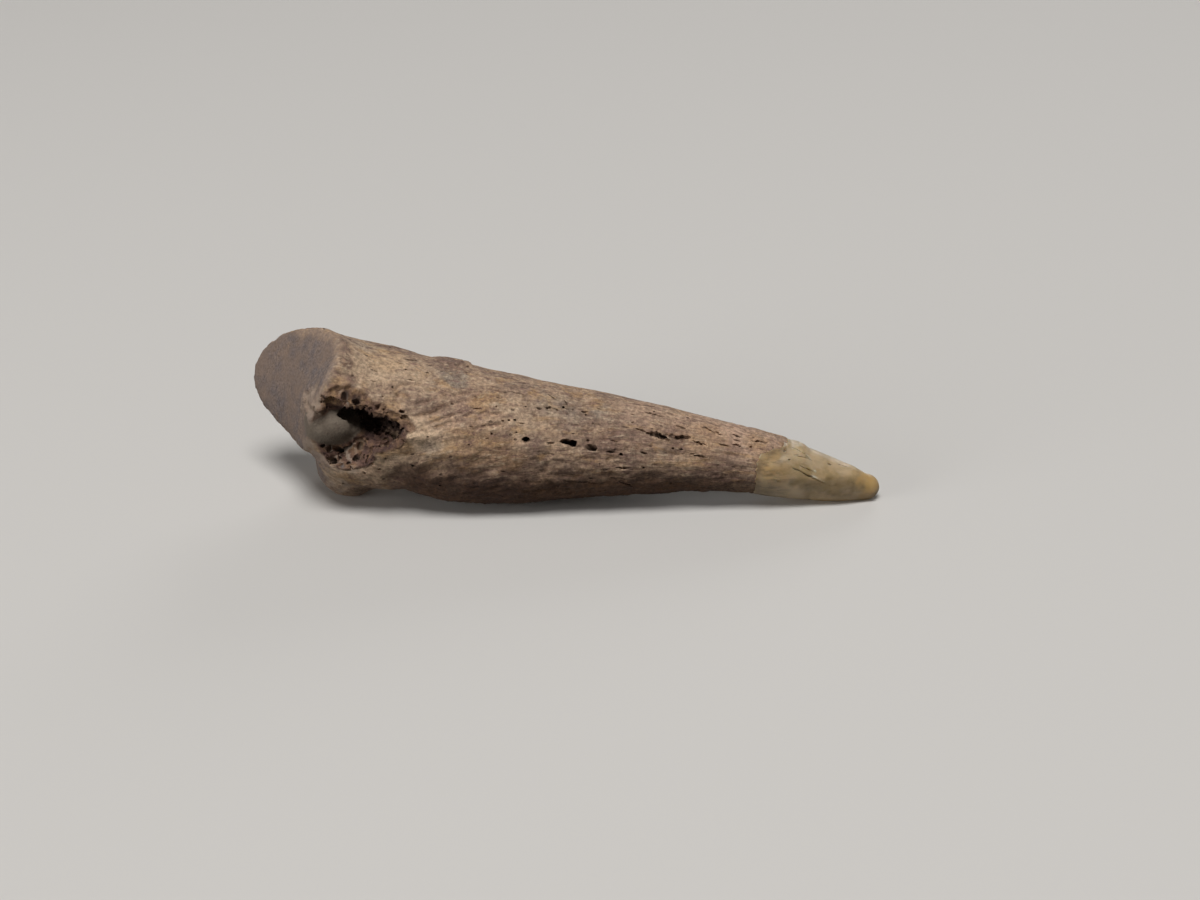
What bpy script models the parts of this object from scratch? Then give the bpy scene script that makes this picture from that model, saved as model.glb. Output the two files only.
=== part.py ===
"""Fossil claw: a weathered claw bone, with the clear, waxy tip that is fused to its end.

Lengths are in metres. +X runs from the joint face to the tip and +Z is up. The claw lies on
Z = 0, with the middle of its bounding box at X = Y = 0.
"""
import math

import bmesh
import bpy
from mathutils import Vector

MM = 0.001

# Cross-sections of the claw, from the neck behind the joint face to the tip, in millimetres:
# (x, middle y, middle z, half width, half height, squareness of the underside).
# A squareness of 2 is an ellipse, and a larger one is a flatter belly.
SECTIONS = [
    (-12.1, 0.60, 5.39, 4.82, 4.63, 2.2),
    (-10.4, 0.50, 5.23, 4.58, 4.37, 2.3),
    (-8.7, 0.40, 4.74, 4.70, 4.40, 2.5),
    (-6.9, 0.30, 4.47, 4.72, 4.33, 2.6),
    (-4.2, 0.10, 4.10, 4.45, 4.06, 2.6),
    (-0.5, -0.20, 3.88, 3.92, 3.59, 2.5),
    (2.1, -0.45, 3.73, 3.55, 3.28, 2.3),
    (5.3, -0.75, 3.51, 3.05, 2.88, 2.2),
    (8.5, -1.05, 3.26, 2.53, 2.43, 2.1),
    (11.6, -1.30, 2.82, 2.18, 2.14, 2.0),
    (14.1, -1.35, 2.27, 1.90, 1.90, 2.0),
    (15.0, -1.38, 1.96, 1.72, 1.72, 2.0),
    (16.3, -1.42, 1.56, 1.51, 1.51, 2.0),
    (17.8, -1.48, 1.24, 1.22, 1.22, 2.0),
    (19.1, -1.50, 0.88, 0.81, 0.81, 2.0),
]
TIP_END_X = 19.95              # the blunt point itself
TIP_DOME_SHARES = (0.35, 0.65, 0.87, 0.97)  # where the rings of its rounded end lie
SECTION_SPACING = 0.55         # distance between the rings of the body
RING_SIDES = 44

# The rim of the oval joint face, seen as (angle, x, radius) about HEAD_AXIS. Angles are in
# degrees, from the near side (-Y) at 0, over the top at 90, to the far side at 180.
HEAD_AXIS = (0.9, 7.0)         # y and z of the middle of the head
FACE_RIM = [
    (-62, -17.2, 3.62),
    (-38, -16.4, 4.15),
    (-7, -16.2, 4.15),
    (19, -15.5, 4.50),
    (38, -14.7, 4.70),
    (62, -13.9, 4.70),
    (80, -14.6, 4.50),
    (100, -15.8, 4.38),
    (121, -17.3, 4.25),
    (142, -18.8, 4.40),
    (163, -20.3, 4.38),
    (185, -21.0, 4.05),
    (216, -20.3, 3.40),
    (256, -18.6, 3.10),
]
FACE_CENTRE = (-17.55, 0.62, 7.80)
FACE_INWARD = (0.80, 0.49, -0.34)
FACE_DISH = 0.30               # how deep the joint face is hollowed
FACE_RINGS = 9
FACE_OVERRUN_RINGS = 3         # rings of the joint face's cutter that reach past the rim
HEAD_RINGS = 9
HEAD_RADIUS = 4.5
HEAD_EASING = 1.15             # above 1, the head keeps its girth longer before it necks in
HEAD_OVERRUN = 0.25            # share of the head's length that the joint face trims off
HEAD_UNDERCUT = 0.35           # how much later the underside swells out than the top

# Swellings of the bone: (x, y, z) of the middle and the three half lengths.
HEEL = ((-14.15, 0.60, 2.42), (2.30, 2.95, 2.50))          # the knob below the joint face
HEEL_SHOULDER = ((-13.4, -1.50, 3.95), (2.80, 2.10, 2.25))  # carries the heel into the near wall
FAR_CONDYLE = ((-14.2, 3.30, 3.30), (2.60, 2.35, 3.38))    # its partner on the far side
SOCKET_BALL = ((-14.91, -2.05, 6.10), (1.60, 1.30, 1.18))  # smooth boss inside the break

# The break in the near wall: a hollow that narrows towards the tip, and a scoop below it.
BREAK_APEX = (-9.8, -4.1, 6.55)
BREAK_MOUTH = (-15.0, -3.1, 6.9)
BREAK_MOUTH_HALF_HEIGHT = 1.55
BREAK_APEX_HALF_HEIGHT = 0.12
BREAK_DEPTH_RATIO = 1.7        # the hollow is this much deeper than it is high
BREAK_SCOOP = ((-14.1, -3.9, 4.85), (1.95, 1.40, 1.25))
BREAK_POCKET = ((-12.2, -3.7, 6.0), (2.05, 1.95, 0.90))
BREAK_LIP = ((-15.25, -3.85, 6.35), (1.05, 1.0, 1.45))  # opens the break out to the face's rim

# A shallow lengthwise groove on the far side, where the claw's blood vessel ran.
FAR_GROOVE = ((1.5, 3.55, 4.5), (11.0, 0.75, 0.65))
FAR_GROOVE_HEADING = (1.0, -0.205, -0.075)

# The bone ends inside the clear tip on this line in X and Z, and runs on above it as a tongue.
SEAM_LINE = [(11.95, -1.0), (12.0, 2.9), (12.4, 3.55), (14.55, 4.12), (14.7, 9.0)]
SEAM_GAP = 0.3
TIP_ROOT = 1.0                 # how far the tip's blank reaches back past the seam

BALL_SUBDIVISIONS = 4
ROD_SIDES = 20
SKIN_CELL = 0.20               # cell size of the remeshed bone surface
BLEND_PASSES = 36              # smoothing that runs the swellings into the body
RIM_PASSES = 10                # smoothing that rounds the joint face's rim
BONE_FACE_SHARE = 0.085        # share of the remeshed faces that is kept
FLAT_SPOT = 0.08               # how much of the lowest points the flat rest takes off

# Sizes of the guides that cut the claw. Each one only has to reach clear of it.
FACE_CUTTER_LENGTH = 9
GUIDE_REACH = 30               # along X
GUIDE_HALF_WIDTH = 15          # along Y
GROUND_DEPTH = 5

BONE_COLOUR = (0.46, 0.36, 0.28)
BONE_ROUGHNESS = 0.75
TIP_COLOUR = (0.62, 0.54, 0.36)
TIP_ROUGHNESS = 0.3
TIP_TRANSMISSION = 0.6


def clear_scene():
    for item in list(bpy.data.objects):
        bpy.data.objects.remove(item, do_unlink=True)


def material(name, colour, roughness, transmission=0.0):
    made = bpy.data.materials.new(name)
    made.use_nodes = True
    shader = made.node_tree.nodes["Principled BSDF"]
    shader.inputs["Base Color"].default_value = (*colour, 1.0)
    shader.inputs["Roughness"].default_value = roughness
    shader.inputs["Metallic"].default_value = 0.0
    shader.inputs["Transmission Weight"].default_value = transmission
    return made


def smooth_step(before, start, end, after, share):
    """A point on the smooth curve through four values, share of the way from start to end."""
    tangent_start = (end - before) / 2
    tangent_end = (after - start) / 2
    s2, s3 = share ** 2, share ** 3
    return ((2 * s3 - 3 * s2 + 1) * start + (s3 - 2 * s2 + share) * tangent_start
            + (3 * s2 - 2 * s3) * end + (s3 - s2) * tangent_end)


def section_at(x):
    """The cross-section at x, read from the smooth curve through SECTIONS."""
    last = len(SECTIONS) - 1
    index = 0
    while index < last - 1 and SECTIONS[index + 1][0] < x:
        index += 1
    four = [SECTIONS[min(max(index + step, 0), last)] for step in (-1, 0, 1, 2)]
    share = (x - four[1][0]) / (four[2][0] - four[1][0])
    return [smooth_step(*(row[column] for row in four), share) for column in range(1, 6)]


def section_ring(x, scale=1.0):
    """One ring of the body: an ellipse whose lower half is squared off."""
    middle_y, middle_z, half_width, half_height, squareness = section_at(x)
    ring = []
    for step in range(RING_SIDES):
        angle = 2 * math.pi * step / RING_SIDES
        across, rise = math.cos(angle), math.sin(angle)
        if rise < 0:
            power = 2.0 / squareness
            across = math.copysign(abs(across) ** power, across)
            rise = -abs(rise) ** power
        ring.append(Vector((x, middle_y - across * half_width * scale,
                            middle_z + rise * half_height * scale)))
    return ring


def rim_at(angle):
    """x and radius of the joint face's rim at an angle in degrees."""
    count = len(FACE_RIM)
    turned = (angle - FACE_RIM[0][0]) % 360 + FACE_RIM[0][0]
    index = max(step for step in range(count) if FACE_RIM[step][0] <= turned)
    four = [FACE_RIM[(index + step) % count] for step in (-1, 0, 1, 2)]
    start = four[1][0]
    span = (four[2][0] - start) % 360
    share = (turned - start) / span
    return [smooth_step(*(row[column] for row in four), share) for column in (1, 2)]


def rim_ring():
    ring = []
    for step in range(RING_SIDES):
        angle = 360.0 * step / RING_SIDES
        x, radius = rim_at(angle)
        turn = math.radians(angle)
        ring.append(Vector((x, HEAD_AXIS[0] - radius * math.cos(turn),
                            HEAD_AXIS[1] + radius * math.sin(turn))))
    return ring


def face_point(rim_point, share):
    """A point of the dished joint face, share of the way from its middle to its rim."""
    centre, inward = Vector(FACE_CENTRE), Vector(FACE_INWARD).normalized()
    offset = rim_point - centre
    depth = offset.dot(inward)
    flat = offset - inward * depth
    return centre + flat * share + inward * (depth * share ** 2 + FACE_DISH * (1 - share ** 2))


def face_cutter(rim):
    """A body that is the space in front of the joint face; its back is the dished face."""
    centre, inward = Vector(FACE_CENTRE), Vector(FACE_INWARD).normalized()
    shares = [step / FACE_RINGS for step in range(1, FACE_RINGS + FACE_OVERRUN_RINGS + 1)]
    rings = [[face_point(point, share) for point in rim] for share in shares]
    rings.append([point - inward * FACE_CUTTER_LENGTH for point in rings[-1]])
    return as_guide(loft("face_cutter", rings, centre + inward * FACE_DISH,
                         centre - inward * FACE_CUTTER_LENGTH))


def head_rings(rim, neck):
    """Rings from in front of the joint face's rim back to the round neck."""
    rings = []
    for step in range(-1, HEAD_RINGS):
        share = step / HEAD_RINGS if step >= 0 else -HEAD_OVERRUN
        ring = []
        for start, end in zip(rim, neck):
            rise = (start.z - HEAD_AXIS[1]) / HEAD_RADIUS
            power = HEAD_EASING - HEAD_UNDERCUT * rise
            eased = start.lerp(end, math.copysign(abs(share) ** power, share))
            ring.append(Vector((start.lerp(end, share).x, eased.y, eased.z)))
        rings.append(ring)
    return rings


def body_rings(start_x):
    """Rings from start_x to the blunt tip."""
    last_x = SECTIONS[-1][0]
    count = round((last_x - start_x) / SECTION_SPACING)
    rings = [section_ring(start_x + (last_x - start_x) * step / count)
             for step in range(count + 1)]
    dome_length = TIP_END_X - last_x
    for share in TIP_DOME_SHARES:
        ring = section_ring(last_x, math.sqrt(1 - share ** 2))
        rings.append([point + Vector((dome_length * share, 0, 0)) for point in ring])
    return rings


def loft(name, rings, start_point=None, end_point=None):
    """A closed body through the rings, closed by a fan at either end."""
    mesh = bmesh.new()
    rows = [[mesh.verts.new(point * MM) for point in ring] for ring in rings]
    sides = len(rings[0])
    turns = [(step, (step + 1) % sides) for step in range(sides)]
    for low, high in zip(rows, rows[1:]):
        for step, after in turns:
            mesh.faces.new((low[step], low[after], high[after], high[step]))
    start_point = start_point or sum(rings[0], Vector()) / sides
    end_point = end_point or sum(rings[-1], Vector()) / sides
    first, last = (mesh.verts.new(point * MM) for point in (start_point, end_point))
    for step, after in turns:
        mesh.faces.new((rows[0][after], rows[0][step], first))
        mesh.faces.new((rows[-1][step], rows[-1][after], last))
    return finish(name, mesh)


def finish(name, mesh):
    bmesh.ops.recalc_face_normals(mesh, faces=mesh.faces)
    data = bpy.data.meshes.new(name)
    mesh.to_mesh(data)
    mesh.free()
    data.shade_smooth()
    item = bpy.data.objects.new(name, data)
    bpy.context.scene.collection.objects.link(item)
    return item


def as_guide(item):
    item.hide_render = True
    item.display_type = "WIRE"
    return item


def ellipsoid(name, middle, half_lengths, heading=(1, 0, 0)):
    mesh = bmesh.new()
    bmesh.ops.create_icosphere(mesh, subdivisions=BALL_SUBDIVISIONS, radius=1.0)
    bmesh.ops.scale(mesh, verts=mesh.verts, vec=Vector(half_lengths) * MM)
    turn = Vector((1, 0, 0)).rotation_difference(Vector(heading)).to_matrix()
    bmesh.ops.rotate(mesh, verts=mesh.verts, matrix=turn)
    bmesh.ops.translate(mesh, verts=mesh.verts, vec=Vector(middle) * MM)
    return as_guide(finish(name, mesh))


def rod(name, start, end, start_radius, end_radius, flatten):
    """A straight taper from start to end; flatten is its depth in Y over its height."""
    start, end = Vector(start) * MM, Vector(end) * MM
    mesh = bmesh.new()
    bmesh.ops.create_cone(mesh, segments=ROD_SIDES, cap_ends=True, radius1=start_radius * MM,
                          radius2=end_radius * MM, depth=(end - start).length)
    turn = (end - start).to_track_quat("Z", "Y").to_matrix()
    bmesh.ops.rotate(mesh, verts=mesh.verts, matrix=turn)
    bmesh.ops.scale(mesh, verts=mesh.verts, vec=(1, flatten, 1))
    bmesh.ops.translate(mesh, verts=mesh.verts, vec=(start + end) / 2)
    return as_guide(finish(name, mesh))


def prism(name, outline):
    """An outline in X and Z, extruded along Y."""
    mesh = bmesh.new()
    corners = [mesh.verts.new(Vector((x, -GUIDE_HALF_WIDTH, z)) * MM) for x, z in outline]
    side = mesh.faces.new(corners)
    moved = bmesh.ops.extrude_face_region(mesh, geom=[side])["geom"]
    verts = [part for part in moved if isinstance(part, bmesh.types.BMVert)]
    bmesh.ops.translate(mesh, verts=verts, vec=(0, 2 * GUIDE_HALF_WIDTH * MM, 0))
    return as_guide(finish(name, mesh))


def boolean(item, operation, other):
    step = item.modifiers.new(other.name, "BOOLEAN")
    step.operation = operation
    step.solver = "EXACT"
    step.object = other


def reskin(item, passes):
    """Remeshes the body as one even skin and smooths it."""
    skin = item.modifiers.new("skin", "REMESH")
    skin.mode = "VOXEL"
    skin.voxel_size = SKIN_CELL * MM
    skin.use_smooth_shade = True
    soften = item.modifiers.new("soften", "SMOOTH")
    soften.factor = 0.5
    soften.iterations = passes


def make_bone(seam, ground):
    rim = rim_ring()
    neck_x = SECTIONS[0][0]
    rings = head_rings(rim, section_ring(neck_x)) + body_rings(neck_x)
    bone = loft("claw_bone", rings)
    lobes = {"heel": HEEL, "heel_shoulder": HEEL_SHOULDER, "far_condyle": FAR_CONDYLE}
    for name, shape in lobes.items():
        boolean(bone, "UNION", ellipsoid(name, *shape))
    boolean(bone, "DIFFERENCE", ellipsoid("far_groove", *FAR_GROOVE, FAR_GROOVE_HEADING))
    reskin(bone, BLEND_PASSES)
    boolean(bone, "DIFFERENCE", face_cutter(rim))
    reskin(bone, RIM_PASSES)
    thin = bone.modifiers.new("fewer faces", "DECIMATE")
    thin.ratio = BONE_FACE_SHARE

    hollow = rod("break_hollow", BREAK_MOUTH, BREAK_APEX, BREAK_MOUTH_HALF_HEIGHT,
                 BREAK_APEX_HALF_HEIGHT, BREAK_DEPTH_RATIO)
    boolean(bone, "DIFFERENCE", hollow)
    boolean(bone, "DIFFERENCE", ellipsoid("break_scoop", *BREAK_SCOOP))
    boolean(bone, "DIFFERENCE", ellipsoid("break_pocket", *BREAK_POCKET))
    boolean(bone, "DIFFERENCE", ellipsoid("break_lip", *BREAK_LIP))
    boolean(bone, "UNION", ellipsoid("socket_ball", *SOCKET_BALL))
    boolean(bone, "DIFFERENCE", seam)
    boolean(bone, "DIFFERENCE", ground)
    bone.data.materials.append(material("weathered bone", BONE_COLOUR, BONE_ROUGHNESS))
    return bone


def make_tip(seam, ground):
    end = Vector((TIP_END_X, *SECTIONS[-1][1:3]))
    tip = loft("claw_tip", body_rings(SEAM_LINE[0][0] - TIP_ROOT), end_point=end)
    boolean(tip, "INTERSECT", seam)
    boolean(tip, "DIFFERENCE", ground)
    clear = material("clear tip", TIP_COLOUR, TIP_ROUGHNESS, TIP_TRANSMISSION)
    tip.data.materials.append(clear)
    return tip


def centre_on_origin(pieces, guides):
    """Moves everything so that the pieces' box stands on Z = 0, centred over X = Y = 0."""
    depsgraph = bpy.context.evaluated_depsgraph_get()
    corners = [piece.matrix_world @ vertex.co for piece in pieces
               for vertex in piece.evaluated_get(depsgraph).data.vertices]
    low = [min(corner[axis] for corner in corners) for axis in range(3)]
    high = [max(corner[axis] for corner in corners) for axis in range(3)]
    shift = Vector((-(low[0] + high[0]) / 2, -(low[1] + high[1]) / 2, -low[2]))
    for item in pieces + guides:
        item.location += shift
    print("moved by", [round(value / MM, 3) for value in shift])


def main():
    clear_scene()
    seam_end = [(GUIDE_REACH, SEAM_LINE[-1][1]), (GUIDE_REACH, SEAM_LINE[0][1])]
    bone_seam = prism("bone_seam", SEAM_LINE + seam_end)
    tip_line = [(x + SEAM_GAP, z - SEAM_GAP) for x, z in SEAM_LINE]
    tip_seam = prism("tip_seam", tip_line + seam_end)
    below = FLAT_SPOT - GROUND_DEPTH
    ground = prism("ground", [(-GUIDE_REACH, below), (GUIDE_REACH, below),
                              (GUIDE_REACH, FLAT_SPOT), (-GUIDE_REACH, FLAT_SPOT)])
    bone = make_bone(bone_seam, ground)
    tip = make_tip(tip_seam, ground)
    guides = [item for item in bpy.data.objects if item.hide_render]
    centre_on_origin([bone, tip], guides)


main()
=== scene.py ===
import math
import random

import bpy
import numpy as np
from bpy.props import FloatProperty, FloatVectorProperty, IntProperty, PointerProperty
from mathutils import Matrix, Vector, noise
from mathutils.bvhtree import BVHTree
from mathutils.kdtree import KDTree


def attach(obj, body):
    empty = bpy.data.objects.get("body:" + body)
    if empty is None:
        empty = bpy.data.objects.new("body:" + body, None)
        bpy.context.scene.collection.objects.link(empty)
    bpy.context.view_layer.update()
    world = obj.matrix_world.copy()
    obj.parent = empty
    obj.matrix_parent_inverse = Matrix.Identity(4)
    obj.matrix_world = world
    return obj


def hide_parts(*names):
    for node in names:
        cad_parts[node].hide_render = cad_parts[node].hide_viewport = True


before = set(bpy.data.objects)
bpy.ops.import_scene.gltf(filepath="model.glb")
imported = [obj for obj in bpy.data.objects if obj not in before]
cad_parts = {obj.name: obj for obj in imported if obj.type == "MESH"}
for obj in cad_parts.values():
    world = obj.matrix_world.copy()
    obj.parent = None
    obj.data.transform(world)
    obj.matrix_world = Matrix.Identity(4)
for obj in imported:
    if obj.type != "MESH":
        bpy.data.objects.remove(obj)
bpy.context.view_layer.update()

bl_info = {
    "name": "Fossil Claw",
    "version": (1, 0, 0),
    "blender": (4, 5, 0),
    "location": "View3D > Sidebar > Fossil",
    "description": "Builds a weathered fossil claw bone with a clear, waxy tip",
    "category": "Add Mesh",
}

MM = 0.001                            # a millimetre in metres

# Places are in millimetres in the frame's axes: +X to the tip, +Z up, the break on -Y.

# The claw's centre line: (x, y, z, mean radius).
CENTRE_LINE = [
    (-20.4, 0.30, 6.90, 4.30),
    (-11.7, 0.00, 5.31, 4.72),
    (-6.5, -0.30, 4.39, 4.52),
    (-0.1, -0.80, 3.80, 3.75),
    (5.7, -1.35, 3.43, 2.96),
    (12.0, -1.90, 2.74, 2.16),
    (16.7, -2.02, 1.48, 1.51),
    (20.4, -2.10, 0.80, 0.80),
]
FACE_OUTWARD = (-0.80, -0.49, 0.34)   # the way that the joint face looks
FACE_BACK_X = -12.6                   # the joint face lies in front of this
FACE_RIM_X = -16.6                    # its pale rim shows only behind this
RIM_WIDTH = 0.55                      # of the rim's pale band past the face's edge

# The hollows of the break, as in the solid: middle and half lengths.
BREAK_MOUTH = (-14.59, -3.70, 6.82)
BREAK_APEX = (-9.39, -4.70, 6.47)
BREAK_MOUTH_HALF_HEIGHT = 1.55
BREAK_APEX_HALF_HEIGHT = 0.12
BREAK_DEPTH_RATIO = 1.7
BREAK_POCKETS = [
    ((-13.69, -4.50, 4.77), (1.95, 1.40, 1.25)),
    ((-11.79, -4.30, 5.92), (2.05, 1.95, 0.90)),
]
SOCKET_BALL = ((-14.40, -2.68, 6.02), (1.72, 1.33, 1.20))
BREAK_SKIN = 0.12                     # how far past its wall the break's finish reaches

# The spongy bevel along the break's upper edge: (x, y, z, half width).
BEVEL_LINE = [
    (-14.3, -4.00, 8.00, 0.26),
    (-13.7, -3.85, 8.42, 0.66),
    (-12.5, -3.85, 8.14, 0.66),
    (-11.8, -4.10, 7.62, 0.50),
    (-10.85, -4.20, 7.26, 0.42),
    (-9.9, -4.35, 6.75, 0.34),
    (-9.3, -4.50, 6.45, 0.22),
]
BEVEL_DEPTH = 0.20
BEVEL_CRUST = ((-13.10, -3.90, 8.50), (1.20, 1.00, 0.50))  # its crusted part, with few cells
# The ledges under the bevel, the collar between the ball and the face's rim, and the deep end
# of the hollow.
LEDGES = [
    ((-13.85, -2.80, 7.95), (1.35, 0.85, 0.78)),
    ((-12.40, -3.00, 7.62), (1.30, 0.85, 0.60)),
    ((-11.10, -3.30, 7.25), (1.10, 0.80, 0.48)),
    ((-15.05, -3.00, 7.00), (0.70, 0.75, 0.55)),
]
DEEP_END = [
    ((-12.90, -2.60, 6.85), (1.30, 1.30, 0.60)),
    ((-11.80, -2.75, 6.30), (1.45, 1.65, 0.78)),
    ((-10.60, -3.20, 6.10), (1.00, 1.30, 0.52)),
]
DEEP_END_RAGGED = 0.22                # unevenness of its walls, as a share of its size

# The insides of the two round holes through the bevel, which get painted shade.
BEVEL_HOLES = [
    ((-13.30, -3.45, 8.38), (0.24, 0.62, 0.27)),
    ((-12.60, -3.55, 8.05), (0.28, 0.62, 0.24)),
]

# Swells of the outer skin, and hollows where the height is negative.
SWELLS = [
    ((-8.96, -4.60, 6.05), (0.95, 1.2, 0.62), 0.26),
    ((-9.20, -4.55, 5.70), (1.80, 1.3, 0.75), 0.20),
    ((-7.95, -4.66, 5.90), (1.10, 1.2, 0.70), 0.15),
    ((-11.10, -4.72, 4.80), (1.40, 1.2, 0.50), 0.16),
    ((-9.95, -4.67, 5.20), (0.90, 1.2, 0.50), 0.18),
    ((-8.40, -3.41, 7.86), (1.10, 1.0, 0.80), 0.13),
    ((-9.96, -2.81, 8.64), (1.20, 1.0, 0.80), 0.10),
    ((-6.27, -2.07, 8.34), (1.40, 0.7, 0.55), -0.13),
    ((-7.55, -4.90, 3.70), (2.20, 1.3, 0.55), -0.15),
    ((-10.16, -4.19, 2.87), (1.60, 1.3, 0.60), -0.15),
    ((-6.20, -4.97, 4.78), (2.60, 1.2, 0.45), 0.13),
    ((-1.50, -4.60, 5.20), (1.80, 1.2, 0.60), 0.10),
    ((3.20, -4.30, 4.20), (2.40, 1.2, 0.60), -0.09),
    ((-11.50, 3.60, 7.20), (1.80, 1.6, 1.20), 0.16),
    ((-8.50, 4.40, 4.60), (2.40, 1.4, 0.80), -0.15),
    ((-15.70, -2.80, 4.05), (1.10, 1.1, 0.55), -0.32),
    ((14.30, -2.20, 4.35), (0.90, 0.9, 0.60), -0.11),
]
# Flakes of the outer skin that stand proud: middle, half lengths, height.
FLAKES = [
    ((-6.80, 0.95, 8.75), (1.38, 1.15, 0.9), 0.16),
    ((-10.2, 1.60, 9.10), (0.90, 0.70, 0.6), 0.05),
    ((-2.60, 2.10, 7.10), (1.30, 0.60, 0.6), 0.04),
    ((-6.10, 4.30, 5.90), (1.50, 0.80, 0.7), 0.10),
    ((2.60, 2.20, 5.10), (1.60, 0.70, 0.6), 0.08),
    ((-12.3, 4.40, 5.60), (1.00, 0.80, 0.7), 0.09),
]

# Stains: the middle of each, its radius and its strength.
STAINS = {
    "ochre": [((-4.87, -3.09, 7.54), 0.9, 0.6), ((2.25, -2.02, 6.82), 0.55, 0.7),
              ((-5.60, -4.80, 5.20), 1.7, 0.4), ((-3.77, -4.85, 4.69), 1.5, 0.35),
              ((-9.99, -4.67, 5.32), 0.9, 0.6), ((-15.0, -3.30, 3.90), 1.0, 0.6),
              ((-13.6, -3.50, 9.00), 0.8, 0.5), ((-10.6, -4.00, 7.60), 0.8, 0.4),
              ((9.00, -3.20, 4.90), 1.6, 0.35), ((12.5, -2.80, 4.40), 1.0, 0.4),
              ((14.3, -2.50, 4.20), 0.6, 0.9), ((-13.6, -3.90, 2.40), 1.0, 0.6),
              ((-10.9, -4.50, 5.20), 0.8, 0.7),
              ((-11.0, -1.00, 9.60), 1.4, 0.3)],
    "grey": [((-6.60, -1.59, 8.55), 1.05, 0.6), ((2.62, -2.64, 6.54), 0.8, 0.45),
             ((-0.01, -2.72, 6.89), 1.5, 0.35), ((-8.20, -4.85, 5.30), 0.8, 0.4),
             ((-12.6, 0.20, 10.3), 1.1, 0.35), ((0.50, 3.20, 5.20), 2.2, 0.5),
             ((-9.00, 4.80, 4.60), 1.6, 0.5)],
    "brown": [((2.84, -4.23, 4.98), 1.5, 0.55), ((4.97, -4.19, 4.59), 1.6, 0.45),
              ((-6.80, 0.60, 8.90), 1.3, 0.7), ((-13.2, -2.62, 10.1), 0.55, 0.8),
              ((-13.3, -1.90, 10.7), 0.60, 0.6), ((-12.9, -3.30, 9.30), 0.5, 0.5),
              ((7.30, -3.55, 5.00), 0.9, 0.6), ((10.4, -3.90, 3.40), 1.7, 0.5),
              ((-4.30, -4.60, 3.20), 2.6, 0.5), ((-9.60, -4.20, 3.10), 1.8, 0.5),
              ((-7.70, -3.90, 7.20), 1.3, 0.35), ((-5.00, 4.40, 4.20), 2.5, 0.5)],
    "pale": [((-11.6, -1.90, 9.60), 2.6, 0.85), ((-9.00, -2.20, 9.00), 1.8, 0.5),
             ((-8.60, -4.65, 6.00), 1.9, 1.0), ((-2.40, -3.60, 6.60), 1.6, 0.5),
             # the next two pale patches, at the heel, are painted light that brightens the heel as
             # if lit from the left
             ((-14.9, -3.70, 2.60), 2.0, 1.0), ((-12.4, -4.50, 3.60), 2.0, 0.9),
             ((-10.4, -4.60, 4.70), 2.2, 1.0), ((10.9, -3.60, 4.20), 1.5, 0.6)],
    "rose": [((8.80, -2.45, 5.46), 2.4, 0.7), ((11.3, -2.69, 4.84), 2.2, 0.9),
             ((13.2, -2.60, 4.40), 1.3, 0.9),
             ((5.60, -1.90, 6.30), 2.2, 0.45), ((-5.60, -3.60, 7.10), 1.8, 0.35),
             ((-12.6, -4.30, 3.70), 1.3, 0.5)],
}

# The tip's clear film laps over the bone up to this line in X and Z.
FILM_LINE = [(12.30, -1.0), (12.26, 2.2), (12.32, 3.45), (12.60, 3.93), (13.55, 4.04),
             (14.40, 3.98), (14.70, 4.40), (14.80, 9.0)]
FILM_STEP = 0.16                      # between the points of its ragged edge
FILM_RAGGED = 0.055
FILM_PROUD = 0.022
STUB_X = 11.4                         # the bone's end is the part past this
CORE_END_X = 14.45
CORE_CELL = 0.10                      # cell size of the bone's end inside the tip
GAP_CLOSING = 0.24                    # swelling that closes the gap behind the tip
# Of the tip: swells, the dark band, the clouds and the yellow stains.
TIP_SWELLS = [
    ((18.60, -2.30, 1.90), (1.6, 0.9, 0.7), 0.15),
    ((19.40, -2.60, 1.50), (0.9, 0.8, 0.6), 0.05),
    ((15.30, -2.10, 3.60), (1.1, 0.9, 0.5), 0.09),
    ((13.00, -3.80, 3.10), (0.8, 0.8, 0.6), 0.06),
    ((15.60, -3.40, 2.60), (0.9, 0.8, 0.5), 0.05),
    ((16.40, -2.30, 3.00), (0.9, 0.8, 0.5), 0.05),
    ((14.60, -3.90, 2.00), (0.9, 0.8, 0.5), -0.05),
    ((17.40, -3.20, 1.60), (0.9, 0.8, 0.4), -0.04),
]
TIP_BAND = [(14.7, -3.75, 1.95, 0.30), (16.72, -3.52, 1.57, 0.50), (18.0, -3.25, 1.35, 0.50),
            (19.3, -2.97, 1.12, 0.40)]
TIP_STAINS = {
    "yellow": [((13.1, -3.90, 2.70), 0.9, 0.45), ((13.9, -3.75, 2.55), 0.8, 0.3),
               ((20.0, -2.30, 1.10), 1.3, 0.75), ((13.3, -3.40, 3.70), 0.6, 0.3)],
    "cloud": [((14.6, -2.70, 3.55), 0.9, 0.8), ((16.2, -2.60, 3.00), 0.9, 0.7),
              ((17.6, -2.60, 2.40), 0.9, 0.7), ((14.2, -3.50, 3.30), 0.5, 0.7),
              ((14.4, -3.90, 1.20), 1.2, 0.5)],
}
# Cracks and scratches of the tip: start, end, width, number of cuts.
TIP_CRACKS = [
    ((14.64, -3.64, 2.93), (16.72, -3.51, 1.71), 0.075, 7),
    ((15.10, -3.50, 2.95), (16.10, -3.45, 2.50), 0.06, 3),
    ((14.57, -2.40, 3.40), (15.66, -2.79, 3.28), 0.055, 4),
    ((14.63, -2.97, 3.38), (15.85, -2.91, 3.12), 0.055, 4),
    ((17.70, -2.45, 2.55), (18.20, -2.45, 2.35), 0.05, 2),
    ((13.60, -3.95, 2.30), (13.75, -3.93, 2.15), 0.07, 2),
]
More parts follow.
